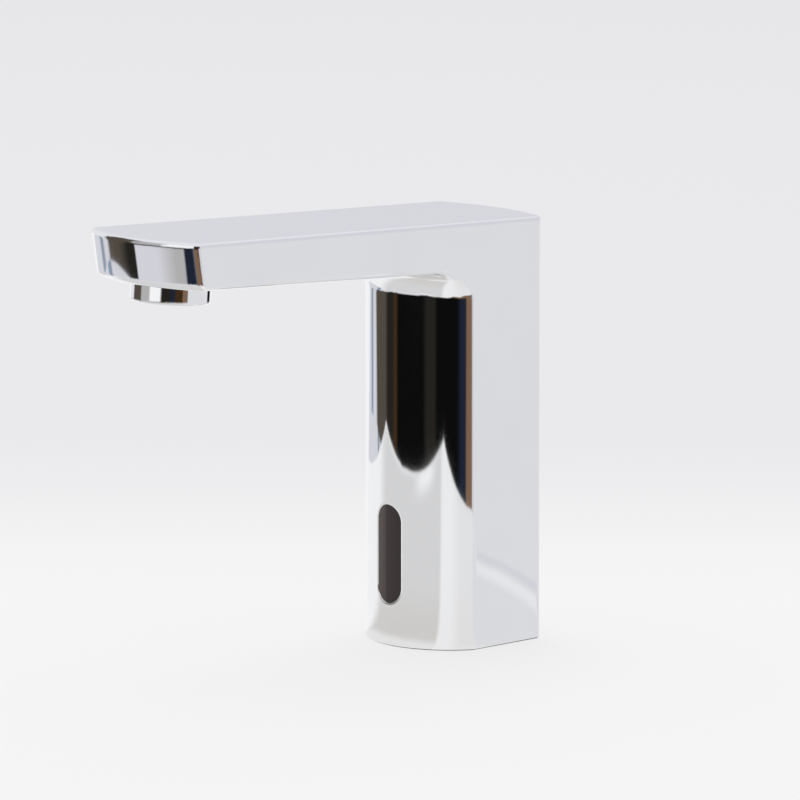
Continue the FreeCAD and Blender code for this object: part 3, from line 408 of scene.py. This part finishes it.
def lens_finish(name, left, right, split):
    """Smoked acrylic in two tones, polished."""
    finish = Finish(name)
    place = finish.place()
    x = finish.parts(place)[0]
    cloud = finish.noise(place, size=0.004)
    waver = 0.0002
    tone = finish.mix((x + cloud * waver).rise(split - 0.0002, split + 0.0004), left, right)
    return finish.set({"Base Color": finish.mix(cloud * 0.25, tone, scaled(left, 0.7)),
                       "Roughness": 0.06 + 0.03 * cloud, "IOR": 1.49})


def plastic_finish(name, base, roughness, relief=0.00002):
    """Moulded plastic: fine grain and slight clouding."""
    finish = Finish(name)
    place = finish.place()
    cloud = finish.noise(place, size=0.012, detail=4.0)
    grain = finish.noise(place, size=0.0006, detail=2.0)
    finish.set({"Base Color": finish.mix(cloud, scaled(base, 0.93), scaled(base, 1.06)),
                "Roughness": roughness + 0.12 * (grain - 0.5), "IOR": 1.5})
    return finish.bump(grain, relief)


def rubber_finish(name, base):
    """Matt rubber with a fine bloom."""
    finish = Finish(name)
    place = finish.place()
    bloom = finish.noise(place, size=0.006, detail=5.0, roughness=0.7)
    grain = finish.noise(place, size=0.0004)
    finish.set({"Base Color": finish.mix(bloom.rise(0.4, 0.8), base, scaled(base, 2.2)),
                "Roughness": 0.62 + 0.2 * bloom, "IOR": 1.52})
    return finish.bump(grain, depth=0.00004)


def turned_finish(name, base, roughness, stretch, tarnish):
    """Machined metal: fine tool lines across one way, and patches of tarnish."""
    finish = Finish(name)
    place = finish.place()
    lines = finish.noise(place, size=0.00025, detail=2.0, stretch=stretch)
    patch = finish.noise(place, size=0.009, detail=5.0, roughness=0.65)
    finish.set({"Metallic": 1.0,
                "Base Color": finish.mix(patch.rise(0.45, 0.8) * tarnish, base,
                                         scaled(base, 0.62)),
                "Roughness": roughness + 0.12 * lines + 0.10 * patch})
    return finish.bump(lines, depth=0.000012)


def board_finish(name, base):
    """Circuit board: solder mask over faint copper tracks."""
    finish = Finish(name)
    wave = finish.add("ShaderNodeTexWave", {"wave_type": "BANDS", "bands_direction": "DIAGONAL"},
                      {"Vector": finish.place(), "Scale": 420.0, "Distortion": 6.0,
                       "Detail": 1.0})
    track = wave.rise(0.62, 0.70)
    finish.set({"Base Color": finish.mix(track, base, scaled(base, 1.9)),
                "Roughness": 0.28 + 0.10 * wave, "Coat Weight": 0.3})
    return finish.bump(track, depth=0.00003)


def eye_finish(name, base):
    """Clear tinted epoxy of the infrared eyes."""
    finish = Finish(name)
    cloud = finish.noise(finish.place(), size=0.002)
    return finish.set({"Base Color": finish.mix(cloud, base, scaled(base, 0.8)),
                       "Roughness": 0.05 + 0.04 * cloud, "Transmission Weight": 0.8,
                       "IOR": 1.54})


class SENSORTAP_OT_materials(bpy.types.Operator):
    """Make the tap's materials and put them on its fixed parts"""
    bl_idname = "sensor_tap.materials"
    bl_label = "Materials"

    def execute(self, context):
        tones = context.scene.sensor_tap_finish
        polish = tones.chrome_roughness
        chrome_finish("chrome", tones.chrome, polish, seed=0.0)
        chrome_finish("chrome_ring", tones.chrome, polish * 0.8, seed=0.31)
        lens_finish("dark_lens", tones.lens_left, tones.lens_right, tones.lens_split)
        rubber_finish("black_rubber", tones.rubber)
        plastic_finish("black_plastic", tones.black, 0.42)
        plastic_finish("white_plastic", tones.white, 0.32, relief=0.00001)
        plastic_finish("grey_plastic", tones.grey, 0.45)
        plastic_finish("blue_plastic", tones.coil, 0.36)
        board_finish("board_green", tones.board)
        eye_finish("clear_lens", tones.eye)
        turned_finish("brass", tones.brass, 0.20, stretch=(0.05, 0.05, 1.0), tarnish=0.35)
        turned_finish("steel", tones.steel, 0.22, stretch=(1.0, 0.08, 0.08), tarnish=0.15)
        for part in frame["record"]["subparts"]:
            node = NODES[part["node"]]
            finish = FINISHES[part["material_slot"]]
            if not node.material_slots:
                node.data.materials.append(finish)
            for slot in node.material_slots:
                slot.material = finish
        return {"FINISHED"}


# ---- Mesh making ----
def new_piece(name, mesh, finish, body, *nodes):
    """A finished piece on its body, standing for some nodes."""
    piece = bpy.data.objects.new(name, mesh)
    bpy.context.scene.collection.objects.link(piece)
    mesh.materials.clear()
    mesh.materials.append(FINISHES[finish])
    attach(piece, body)
    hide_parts(*nodes)
    return piece


def to_mesh(form, name, smooth_angle=30):
    """Mesh of a form: doubles merged, faces outwards, smooth except at its sharp edges."""
    bmesh.ops.remove_doubles(form, verts=form.verts, dist=1e-7)
    bmesh.ops.recalc_face_normals(form, faces=form.faces)
    mesh = bpy.data.meshes.new(name)
    form.to_mesh(mesh)
    form.free()
    mesh.shade_smooth()
    mesh.set_sharp_from_angle(angle=math.radians(smooth_angle))
    return mesh


def add_strip(form, low, high):
    """Faces between two rings of as many points."""
    count = len(low)
    for i in range(count):
        j = (i + 1) % count
        form.faces.new((low[i], low[j], high[j], high[i]))


def add_lathed(form, profile, segments, closed=True):
    """Faces of a profile of (radius, height) points turned round Z."""
    rings = []
    for radius, height in profile:
        rings.append([form.verts.new((radius * math.cos(turn), radius * math.sin(turn), height))
                      for turn in (2 * math.pi * i / segments for i in range(segments))])
    nexts = rings[1:] + rings[:1] if closed else rings[1:]
    for low, high in zip(rings, nexts):
        add_strip(form, low, high)


def add_mesh(form, mesh):
    """Another mesh joined to a form."""
    form.from_mesh(mesh)
    bpy.data.meshes.remove(mesh)


# ---- Deck fixing ----
def thread_pattern():
    """Helical ridge of a thread, from a spiral and a profile swept along it."""
    tree = Pattern("thread", {"Radius": "NodeSocketFloat", "Pitch": "NodeSocketFloat",
                              "Depth": "NodeSocketFloat", "Turns": "NodeSocketFloat",
                              "Low": "NodeSocketFloat", "Steps": "NodeSocketInt",
                              "Material": "NodeSocketMaterial"})
    size = tree.inputs
    foot, crest = 0.86, 0.2  # widths of the profile, in pitches
    run_out_turns, thinnest = 0.8, 0.05
    spiral = tree.add("GeometryNodeCurveSpiral", None, {
        "Resolution": size["Steps"], "Rotations": size["Turns"], "Start Radius": size["Radius"],
        "End Radius": size["Radius"], "Height": size["Turns"] * size["Pitch"],
        "Reverse": False})
    upright = tree.add("GeometryNodeSetCurveNormal", {"mode": "Z_UP"}, {"Curve": spiral})
    along = tree.add("GeometryNodeSplineParameter")
    fade = run_out_turns / size["Turns"]
    run_out = along.rise(0.0, fade) * (1 - along).rise(0.0, fade)
    tapered = tree.add("GeometryNodeSetCurveRadius", None, {
        "Curve": upright, "Radius": thinnest + (1 - thinnest) * run_out})
    ridge = tree.add("GeometryNodeCurvePrimitiveQuadrilateral", {"mode": "TRAPEZOID"}, {
        "Bottom Width": size["Pitch"] * foot, "Top Width": size["Pitch"] * crest,
        "Offset": 0.0, "Height": size["Depth"] * 2})
    turned = tree.add("GeometryNodeTransform", None, {
        "Geometry": ridge, "Rotation": (0, 0, math.pi / 2)})
    swept = tree.add("GeometryNodeCurveToMesh", None, {
        "Curve": tapered, "Profile Curve": turned, "Fill Caps": True})
    offset = tree.add("ShaderNodeCombineXYZ", None, {"Z": size["Low"]})
    placed = tree.add("GeometryNodeTransform", None, {"Geometry": swept, "Translation": offset})
    tree.close(placed, size["Material"])
    return tree


def nut_mesh(low, high, flats, chamfer, bore, collar_low, collar_radius):
    """Hexagonal nut with chamfered corners, and a round pressing face at its top."""
    sides = 6
    count = sides * 12
    side_turn = 2 * math.pi / sides
    rounding, lead = 0.0004, 0.0006
    apothem = flats / 2
    face = apothem - rounding
    corner = apothem / math.cos(side_turn / 2)
    slope = 0.6 * chamfer / (corner - apothem)
    least_drop = 0.0002
    form = bmesh.new()
    rings = [[], [], [], [], []]
    for i in range(count):
        turn = 2 * math.pi * i / count
        reach = apothem / math.cos((turn + side_turn / 2) % side_turn - side_turn / 2)
        drop = (reach - apothem) * slope + least_drop
        for ring, radius, height in zip(rings, (bore + lead, face, reach, reach, face),
                                        (low, low, low + drop, collar_low - drop, collar_low)):
            ring.append(form.verts.new((radius * math.cos(turn), radius * math.sin(turn), height)))
    for first, second in zip(rings, rings[1:]):
        add_strip(form, first, second)
    top = [(face, collar_low), (collar_radius, collar_low), (collar_radius, high - rounding),
           (collar_radius - rounding, high), (bore + rounding, high), (bore, high - rounding),
           (bore, low + lead), (bore + lead, low)]
    add_lathed(form, top, count, closed=False)
    return to_mesh(form, "lock_nut_finished")


class SENSORTAP_OT_fixing(bpy.types.Operator):
    """Make the threaded shank and the chamfered lock nut"""
    bl_idname = "sensor_tap.fixing"
    bl_label = "Deck fixing"

    def execute(self, context):
        size = context.scene.sensor_tap_fixing
        edge, lead = 0.0004, 0.0012
        plain_turns, first_turn = 1.4, 0.7  # without ridge in all, and at the lower end
        crest = (SHANK_HIGH.x - SHANK_LOW.x) / 2
        root = crest - size.depth
        low, high = SHANK_LOW.z, SHANK_HIGH.z
        top = -size.thread_top
        form = bmesh.new()
        add_lathed(form, [(size.bore + edge, low), (root - edge, low), (root, low + edge),
                          (root, top - lead), (crest, top), (crest, high - edge),
                          (crest - edge, high), (size.bore + edge, high),
                          (size.bore, high - edge), (size.bore, low + edge)], 128)
        add_mesh(form, thread_pattern().mesh("ridge", {
            "Radius": root, "Pitch": size.pitch, "Depth": size.depth,
            "Turns": (top - lead - low) / size.pitch - plain_turns,
            "Low": low + size.pitch * first_turn, "Steps": size.steps,
            "Material": FINISHES["brass"]}))
        new_piece("shank_threaded", to_mesh(form, "shank_threaded", 25), "brass", "tap", "shank")
        play, collar_height, collar_overhang = 0.0001, 0.002, 0.001
        collar_radius = min((NUT_HIGH.x - NUT_LOW.x) / 2, size.flats / 2 + collar_overhang)
        nut = nut_mesh(NUT_LOW.z, NUT_HIGH.z, size.flats, size.nut_chamfer, crest + play,
                       NUT_HIGH.z - collar_height, collar_radius)
        new_piece("lock_nut_chamfered", nut, "brass", "lock_nut", "lock_nut")
        return {"FINISHED"}


# ---- Springs ----
class SENSORTAP_OT_springs(bpy.types.Operator):
    """Make the two springs, as smooth-shaded copies of their nodes on the tap's body"""
    bl_idname = "sensor_tap.springs"
    bl_label = "Springs"

    def execute(self, context):
        for node, joint in (("check_spring", "poppet_lift"), ("plunger_spring", "plunger_lift")):
            form = bmesh.new()
            form.from_mesh(NODES[node].data)
            mesh = to_mesh(form, node + "_coil", 60)
            piece = new_piece(node + "_coil", mesh, "steel", "tap", node)
            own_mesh(piece)
        return {"FINISHED"}


# ---- Outlet ----
def comb_pattern():
    """Round plate of honeycomb: hexagonal cells on the points of two crossed rows."""
    tree = Pattern("honeycomb", {"Radius": "NodeSocketFloat", "Cell": "NodeSocketFloat",
                                 "Web": "NodeSocketFloat", "Height": "NodeSocketFloat",
                                 "Low": "NodeSocketFloat", "Count": "NodeSocketInt",
                                 "Material": "NodeSocketMaterial"})
    size = tree.inputs
    row = size["Cell"] * math.sqrt(3)
    joined = tree.node("GeometryNodeJoinGeometry")
    for share_of_cell in (0.0, 0.5):
        grid = tree.add("GeometryNodeMeshGrid", None, {
            "Size X": (size["Count"] - 1) * size["Cell"], "Size Y": (size["Count"] - 1) * row,
            "Vertices X": size["Count"], "Vertices Y": size["Count"]})
        shift = tree.add("ShaderNodeCombineXYZ", None, {
            "X": size["Cell"] * share_of_cell, "Y": row * share_of_cell, "Z": size["Low"]})
        tree.put(joined.inputs[0], tree.add("GeometryNodeTransform", None, {
            "Geometry": grid, "Translation": shift}))
    x, y, _ = tree.parts(tree.add("GeometryNodeInputPosition"))
    margin = 0.55  # in cells, from a kept cell's middle to the barrel
    kept = tree.add("GeometryNodeDeleteGeometry", {"domain": "POINT"}, {
        "Geometry": Value(tree, joined.outputs[0]),
        "Selection": tree.away(x, y) > size["Radius"] - size["Cell"] * margin})
    outline = tree.add("GeometryNodeCurvePrimitiveCircle", None, {
        "Resolution": 6, "Radius": (size["Cell"] - size["Web"] * 0.5) / math.sqrt(3)})
    wall = tree.add("GeometryNodeCurvePrimitiveQuadrilateral", {"mode": "RECTANGLE"}, {
        "Width": size["Web"] * 0.5, "Height": size["Height"]})
    cell = tree.add("GeometryNodeCurveToMesh", None, {"Curve": outline, "Profile Curve": wall})
    upright = tree.add("GeometryNodeTransform", None, {
        "Geometry": cell, "Rotation": (0, 0, math.pi / 6)})
    cells = tree.add("GeometryNodeInstanceOnPoints", None, {"Points": kept, "Instance": upright})
    tree.close(cells, size["Material"])
    return tree


def outlet_matrix():
    """Places a shape drawn with the outlet's axis as +Z and its rim at z = 0."""
    joint = JOINTS["shroud_turn"]
    down = Vector(joint["axis"]).normalized()
    turn = Vector((0, 0, 1)).rotation_difference(-down).to_matrix().to_4x4()
    return Matrix.Translation(Vector(joint["pos_m"])) @ turn


class SENSORTAP_OT_outlet(bpy.types.Operator):
    """Make the aerator's jet insert, with its honeycomb"""
    bl_idname = "sensor_tap.outlet"
    bl_label = "Outlet"

    def execute(self, context):
        size = context.scene.sensor_tap_outlet
        edge, hole = 0.0002, 0.0002
        inner = size.radius - size.wall
        shelf_low, shelf_high = size.high - 0.0025, size.high - 0.001
        form = bmesh.new()
        add_lathed(form, [(inner, size.low + edge), (inner + edge, size.low),
                          (size.radius - edge, size.low), (size.radius, size.low + edge),
                          (size.radius, size.high - edge), (size.radius - edge, size.high),
                          (inner + edge, size.high), (inner, size.high - edge),
                          (inner, shelf_high), (hole, shelf_high), (hole, shelf_low),
                          (inner, shelf_low)], 96)
        add_mesh(form, comb_pattern().mesh("comb", {
            "Radius": inner, "Cell": size.cell, "Web": size.web, "Height": size.comb,
            "Low": size.low + size.comb / 2 + edge, "Count": 1 + 2 * round(inner / size.cell),
            "Material": FINISHES["white_plastic"]}))
        bmesh.ops.transform(form, matrix=outlet_matrix(), verts=form.verts)
        new_piece("jet_insert", to_mesh(form, "jet_insert"), "white_plastic", "aerator_core",
                  "aerator_cartridge")
        return {"FINISHED"}


# ---- Studio ----
NO_LIGHT = (0, 0, 0)
# Tones of a plain room, and the bands of azimuth in degrees that show them, at three heights.
# Azimuth 0 is in front of the tap and 90 to its right.
TONES = {"white": (1.0, 1.0, 1.0), "wall": (0.84, 0.85, 0.89), "plaster": (0.71, 0.71, 0.76),
         "grey": (0.48, 0.47, 0.47), "mist": (0.27, 0.33, 0.42), "slate": (0.13, 0.15, 0.20),
         "oak": (0.22, 0.135, 0.085), "brown": (0.09, 0.075, 0.06),
         "walnut": (0.05, 0.027, 0.012), "navy": (0.015, 0.02, 0.037),
         "charcoal": (0.02, 0.018, 0.015), "black": (0.004, 0.004, 0.004)}
ROOM_LEVEL = [("plaster", -180, -91), ("mist", -88, -85), ("plaster", -82, -77),
              ("brown", -73, -53), ("charcoal", -48, -38), ("walnut", -36, -32),
              ("black", -29, 9), ("charcoal", 15, 25), ("black", 29, 56), ("navy", 62, 67),
              ("oak", 69, 76), ("plaster", 79, 146), ("slate", 152, 174), ("plaster", 179, 180)]
ROOM_HIGH = [("plaster", -180, -132), ("wall", -100, -78), ("brown", -72, -43),
             ("grey", -39, -14), ("white", -10, 18), ("charcoal", 23, 44), ("navy", 48, 58),
             ("walnut", 62, 80), ("oak", 83, 96), ("plaster", 100, 180)]
ROOM_LOW = [("plaster", -180, -132), ("wall", -100, -76), ("brown", -68, -62),
            ("charcoal", -50, -42), ("plaster", -41, -20), ("grey", -4, 3), ("navy", 4, 10),
            ("slate", 12, 16), ("oak", 19, 74), ("charcoal", 77, 79), ("plaster", 84, 146),
            ("slate", 152, 174), ("plaster", 179, 180)]


def flat_mesh(name, outline, height):
    """One flat face, looking up."""
    form = bmesh.new()
    form.faces.new([form.verts.new((x, y, height)) for x, y in outline])
    mesh = bpy.data.meshes.new(name)
    bmesh.ops.recalc_face_normals(form, faces=form.faces)
    for face in form.faces:
        if face.normal.z < 0:
            face.normal_flip()
    bmesh.ops.triangulate(form, faces=form.faces)
    form.to_mesh(mesh)
    form.free()
    return mesh


def dome_mesh(radius):
    """Sphere seen from inside, round the tap."""
    form = bmesh.new()
    bmesh.ops.create_uvsphere(form, u_segments=96, v_segments=48, radius=radius)
    bmesh.ops.reverse_faces(form, faces=form.faces)
    mesh = bpy.data.meshes.new("room")
    form.to_mesh(mesh)
    form.free()
    return mesh


def stage_piece(name, mesh, finish, hidden):
    """A stage object, hidden from some kinds of ray."""
    piece = bpy.data.objects.new(name, mesh)
    bpy.context.scene.collection.objects.link(piece)
    mesh.materials.append(FINISHES[finish])
    for kind in hidden:
        setattr(piece, "visible_" + kind, False)


def front_edge(studio, x):
    """How far in front of the axis the deck's bowed edge lies, at an x: a number or a value."""
    part = (x + studio.deck_left) / (studio.deck_left + studio.deck_right)
    return (studio.deck_front_left + part * (studio.deck_front_right - studio.deck_front_left)
            + 4 * studio.deck_bow * part * (1 - part))


def deck_outline(studio):
    """Deck with a bowed front edge, wider behind the tap."""
    back, side, shoulder, steps = 1.4, 1.4, 0.06, 24
    width = studio.deck_left + studio.deck_right
    across = [-studio.deck_left + width * i / steps for i in range(steps + 1)]
    return [(side, back), (-side, back), (-side, shoulder), (-studio.deck_left, shoulder),
            *[(x, -front_edge(studio, x)) for x in across],
            (studio.deck_right, shoulder), (side, shoulder)]


def apron_outline(studio):
    """Quarter of an ellipse, to the front and left of the tap."""
    steps, past_middle = 32, 0.1
    quarter = [math.pi / 2 * i / steps for i in range(steps + 1)]
    return [(0, 0), *[(-studio.apron_width * math.cos(turn), -studio.apron_reach * math.sin(turn))
                      for turn in quarter],
            (past_middle, -studio.apron_reach), (past_middle, 0)]


def floor_finish(studio):
    """Pale deck: plain to the camera but darker farther behind the tap; to the metal it glows with painted light
    and shade, with bright parts; open from below.
    """
    finish = Finish("deck")
    x, y, _ = finish.parts(finish.place())
    azimuth = finish.degrees(x, 0 - y)
    away = finish.away(x, y)
    inside = front_edge(studio, x) + y
    towards = x * math.sin(studio.azimuth) - y * math.cos(studio.azimuth)
    plain = finish.mix(towards.rise(-0.45, -0.05), studio.far, studio.near)
    # Painted light in front: brighter at the right, at the left, straight ahead, along the edge and at the foot.
    bright = finish.largest(
        0.85 * azimuth.rise(33, 38) * (1 - 0.4 * azimuth.rise(46, 62)),
        (1 - azimuth.rise(-66, -46)) * (0.51 + 0.49 * azimuth.rise(-178, -140)),
        azimuth.band(-6, 12, 18, 32) * (1 - inside.rise(0.020, 0.075)),
        0.6 * (1 - inside.rise(0.004, 0.022)),
        0.6 * (1 - away.rise(0.035, 0.050)))
    # Painted shade: to the metal, the deck is darker and warmer near the tap.
    foot = finish.mix(away.rise(0.05, 0.16), studio.mirrored_foot_shade, studio.mirrored)
    ahead = finish.mix(bright, foot, studio.mirrored_painted_light)
    # At the right and behind: a lit line and a line of shadow, both slanting away from the tap.
    slant, middle = 0.011, 127.7
    across = away + slant * (azimuth - middle)
    lit = 0.5 * across.band(0.110, 0.146, 0.154, 0.172)
    shade = 0.9 * across.band(0.166, 0.183, 0.187, 0.205)
    beside = finish.mix(lit, studio.mirrored_side, studio.mirrored_painted_light)
    beside = finish.mix(shade, beside, TONES["plaster"])
    mirrored = finish.mix(azimuth.band(72, 92, 146, 178), ahead, beside)
    # To the camera, most of the plain tone is given off, so that the shadows on it are faint.
    given_off = 0.78
    glossy, seen = finish.rays("Is Glossy Ray", "Is Camera Ray")
    lit_by_lamps = finish.mix(seen, plain, finish.mix(given_off, plain, NO_LIGHT))
    # To the metal, the deck takes no light and glows with its painted light and shade.
    glow = finish.mix(seen, finish.mix(glossy, NO_LIGHT, mirrored),
                      finish.mix(given_off, NO_LIGHT, plain))
    finish.set({"Base Color": finish.mix(glossy, lit_by_lamps, NO_LIGHT),
                "Emission Color": glow, "Emission Strength": 1.0, "Roughness": 0.6,
                "Specular IOR Level": 0.0})
    below = finish.add("ShaderNodeNewGeometry", output="Backfacing")
    clear = finish.add("ShaderNodeBsdfTransparent")
    opened = finish.add("ShaderNodeMixShader", None, [seen * below, finish.surface, clear])
    finish.put(finish.output.inputs["Surface"], opened)


def room_finish():
    """What stands round the tap: bands of a few tones at three heights, and a pale ceiling."""
    finish = Finish("room", "ShaderNodeEmission")
    x, y, z = finish.parts(finish.place())
    turn = (finish.degrees(x, 0 - y) + 180) / 360
    height = finish.degrees(z, finish.away(x, y))
    level, high, low = [finish.add("ShaderNodeValToRGB", {"stops": [
        ((edge + 180) / 360, TONES[tone]) for tone, *edges in bands for edge in edges]}, [turn])
        for bands in (ROOM_LEVEL, ROOM_HIGH, ROOM_LOW)]
    walls = finish.mix(height.rise(-6, -4), level, high)
    below = finish.mix(height.rise(-17, -14), low, walls)
    finish.set({"Color": finish.mix(height.rise(34, 44), below, TONES["wall"]), "Strength": 1.0})


def apron_finish():
    """Pale ledge with a blue-grey stripe, which only the spout's tip mirrors."""
    finish = Finish("apron", "ShaderNodeEmission")
    x, y, _ = finish.parts(finish.place())
    tip = CAD_BOX[0].y
    stripe = finish.degrees(x, tip - y).band(-84, -82, -78, -76)
    finish.set({"Color": finish.mix(stripe, TONES["plaster"], TONES["mist"]), "Strength": 1.0})


def set_world(studio):
    """Soft light from all round, and a pale background for camera, metal and glass."""
    world = bpy.data.worlds.new("studio")
    bpy.context.scene.world = world
    world.use_nodes = True
    tree = Tree(world.node_tree)
    seen = tree.largest(*tree.rays("Is Camera Ray", "Is Glossy Ray", "Is Transmission Ray"))
    light = tree.add("ShaderNodeBackground", None, {
        "Color": tree.mix(seen, studio.ambient, studio.backdrop), "Strength": 1.0})
    tree.node("ShaderNodeOutputWorld", None, {"Surface": light})


def add_lamp(power):
    """Soft overhead lamp that the metal doesn't mirror."""
    data = bpy.data.lights.new("overhead", "AREA")
    data.energy = power
    data.size = 2.4
    lamp = bpy.data.objects.new("overhead", data)
    lamp.location = (-0.8, 0.3, 2.4)
    lamp.rotation_euler = (-lamp.location).to_track_quat("-Z", "Y").to_euler()
    lamp.visible_glossy = False
    bpy.context.scene.collection.objects.link(lamp)


def add_camera(studio):
    """Camera at the photograph's viewing angle."""
    turn, tilt = studio.azimuth, studio.elevation
    ahead = Vector((-math.sin(turn) * math.cos(tilt), math.cos(turn) * math.cos(tilt),
                    -math.sin(tilt)))
    right = Vector((math.cos(turn), math.sin(turn), 0))
    up = right.cross(ahead)
    lower_edge = Vector((0, 0, 0.0004))
    data = bpy.data.cameras.new("camera")
    data.lens = studio.lens
    data.sensor_width = 36
    data.clip_start, data.clip_end = 0.05, 50
    camera = bpy.data.objects.new("camera", data)
    camera.location = (lower_edge - ahead * studio.distance - right * studio.left
                       + up * studio.up)
    camera.rotation_euler = ahead.to_track_quat("-Z", "Y").to_euler()
    bpy.context.scene.collection.objects.link(camera)
    bpy.context.scene.camera = camera


class SENSORTAP_OT_studio(bpy.types.Operator):
    """Set up the deck, the room that the chrome mirrors, the light and the camera"""
    bl_idname = "sensor_tap.studio"
    bl_label = "Studio"

    def execute(self, context):
        studio = context.scene.sensor_tap_studio
        floor_finish(studio)
        room_finish()
        apron_finish()
        # The metal sees a small deck, an apron and a room; all other rays see one wide floor.
        unseen = ["camera", "diffuse", "transmission", "shadow", "volume_scatter"]
        deck_height, floor_height, floor_half, room_radius = -0.00004, -0.00002, 8.0, 4.0
        floor = [(floor_half * x, floor_half * y) for x, y in ((1, 1), (-1, 1), (-1, -1), (1, -1))]
        stage_piece("deck", flat_mesh("deck", deck_outline(studio), deck_height), "deck", unseen)
        stage_piece("floor", flat_mesh("floor", floor, floor_height), "deck", ["glossy"])
        stage_piece("apron", flat_mesh("apron", apron_outline(studio), -studio.apron_drop),
                    "apron", unseen)
        stage_piece("room", dome_mesh(room_radius), "room", unseen)
        set_world(studio)
        add_lamp(studio.lamp_power)
        add_camera(studio)
        context.scene.view_settings.view_transform = "Standard"
        return {"FINISHED"}


# ---- Add-on ----
class SENSORTAP_PT_panel(bpy.types.Panel):
    """Lists the tap's pieces and settings"""
    bl_idname = "SENSORTAP_PT_panel"
    bl_label = "Sensor Tap"
    bl_space_type = "VIEW_3D"
    bl_region_type = "UI"
    bl_category = "Sensor Tap"

    def draw(self, context):
        for operator in OPERATORS:
            self.layout.operator(operator.bl_idname)
        for key in SETTINGS:
            box = self.layout.box()
            box.label(text=key.replace("sensor_tap_", "").title())
            group = getattr(context.scene, key)
            for name in group.bl_rna.properties.keys():
                if name not in ("rna_type", "name"):
                    box.prop(group, name)


SETTINGS = {"sensor_tap_finish": FinishSettings, "sensor_tap_fixing": FixingSettings,
            "sensor_tap_outlet": OutletSettings, "sensor_tap_studio": StudioSettings}
OPERATORS = [SENSORTAP_OT_materials, SENSORTAP_OT_fixing, SENSORTAP_OT_springs,
             SENSORTAP_OT_outlet, SENSORTAP_OT_studio]


def register():
    for kind in [*SETTINGS.values(), *OPERATORS, SENSORTAP_PT_panel]:
        bpy.utils.register_class(kind)
    for key, kind in SETTINGS.items():
        setattr(bpy.types.Scene, key, bpy.props.PointerProperty(type=kind))


def unregister():
    for key in SETTINGS:
        delattr(bpy.types.Scene, key)
    for kind in [SENSORTAP_PT_panel, *reversed(OPERATORS), *reversed(SETTINGS.values())]:
        bpy.utils.unregister_class(kind)


def main():
    register()
    for operator in OPERATORS:
        group, name = operator.bl_idname.split(".")
        getattr(getattr(bpy.ops, group), name)()


if __name__ == "__main__":
    main()
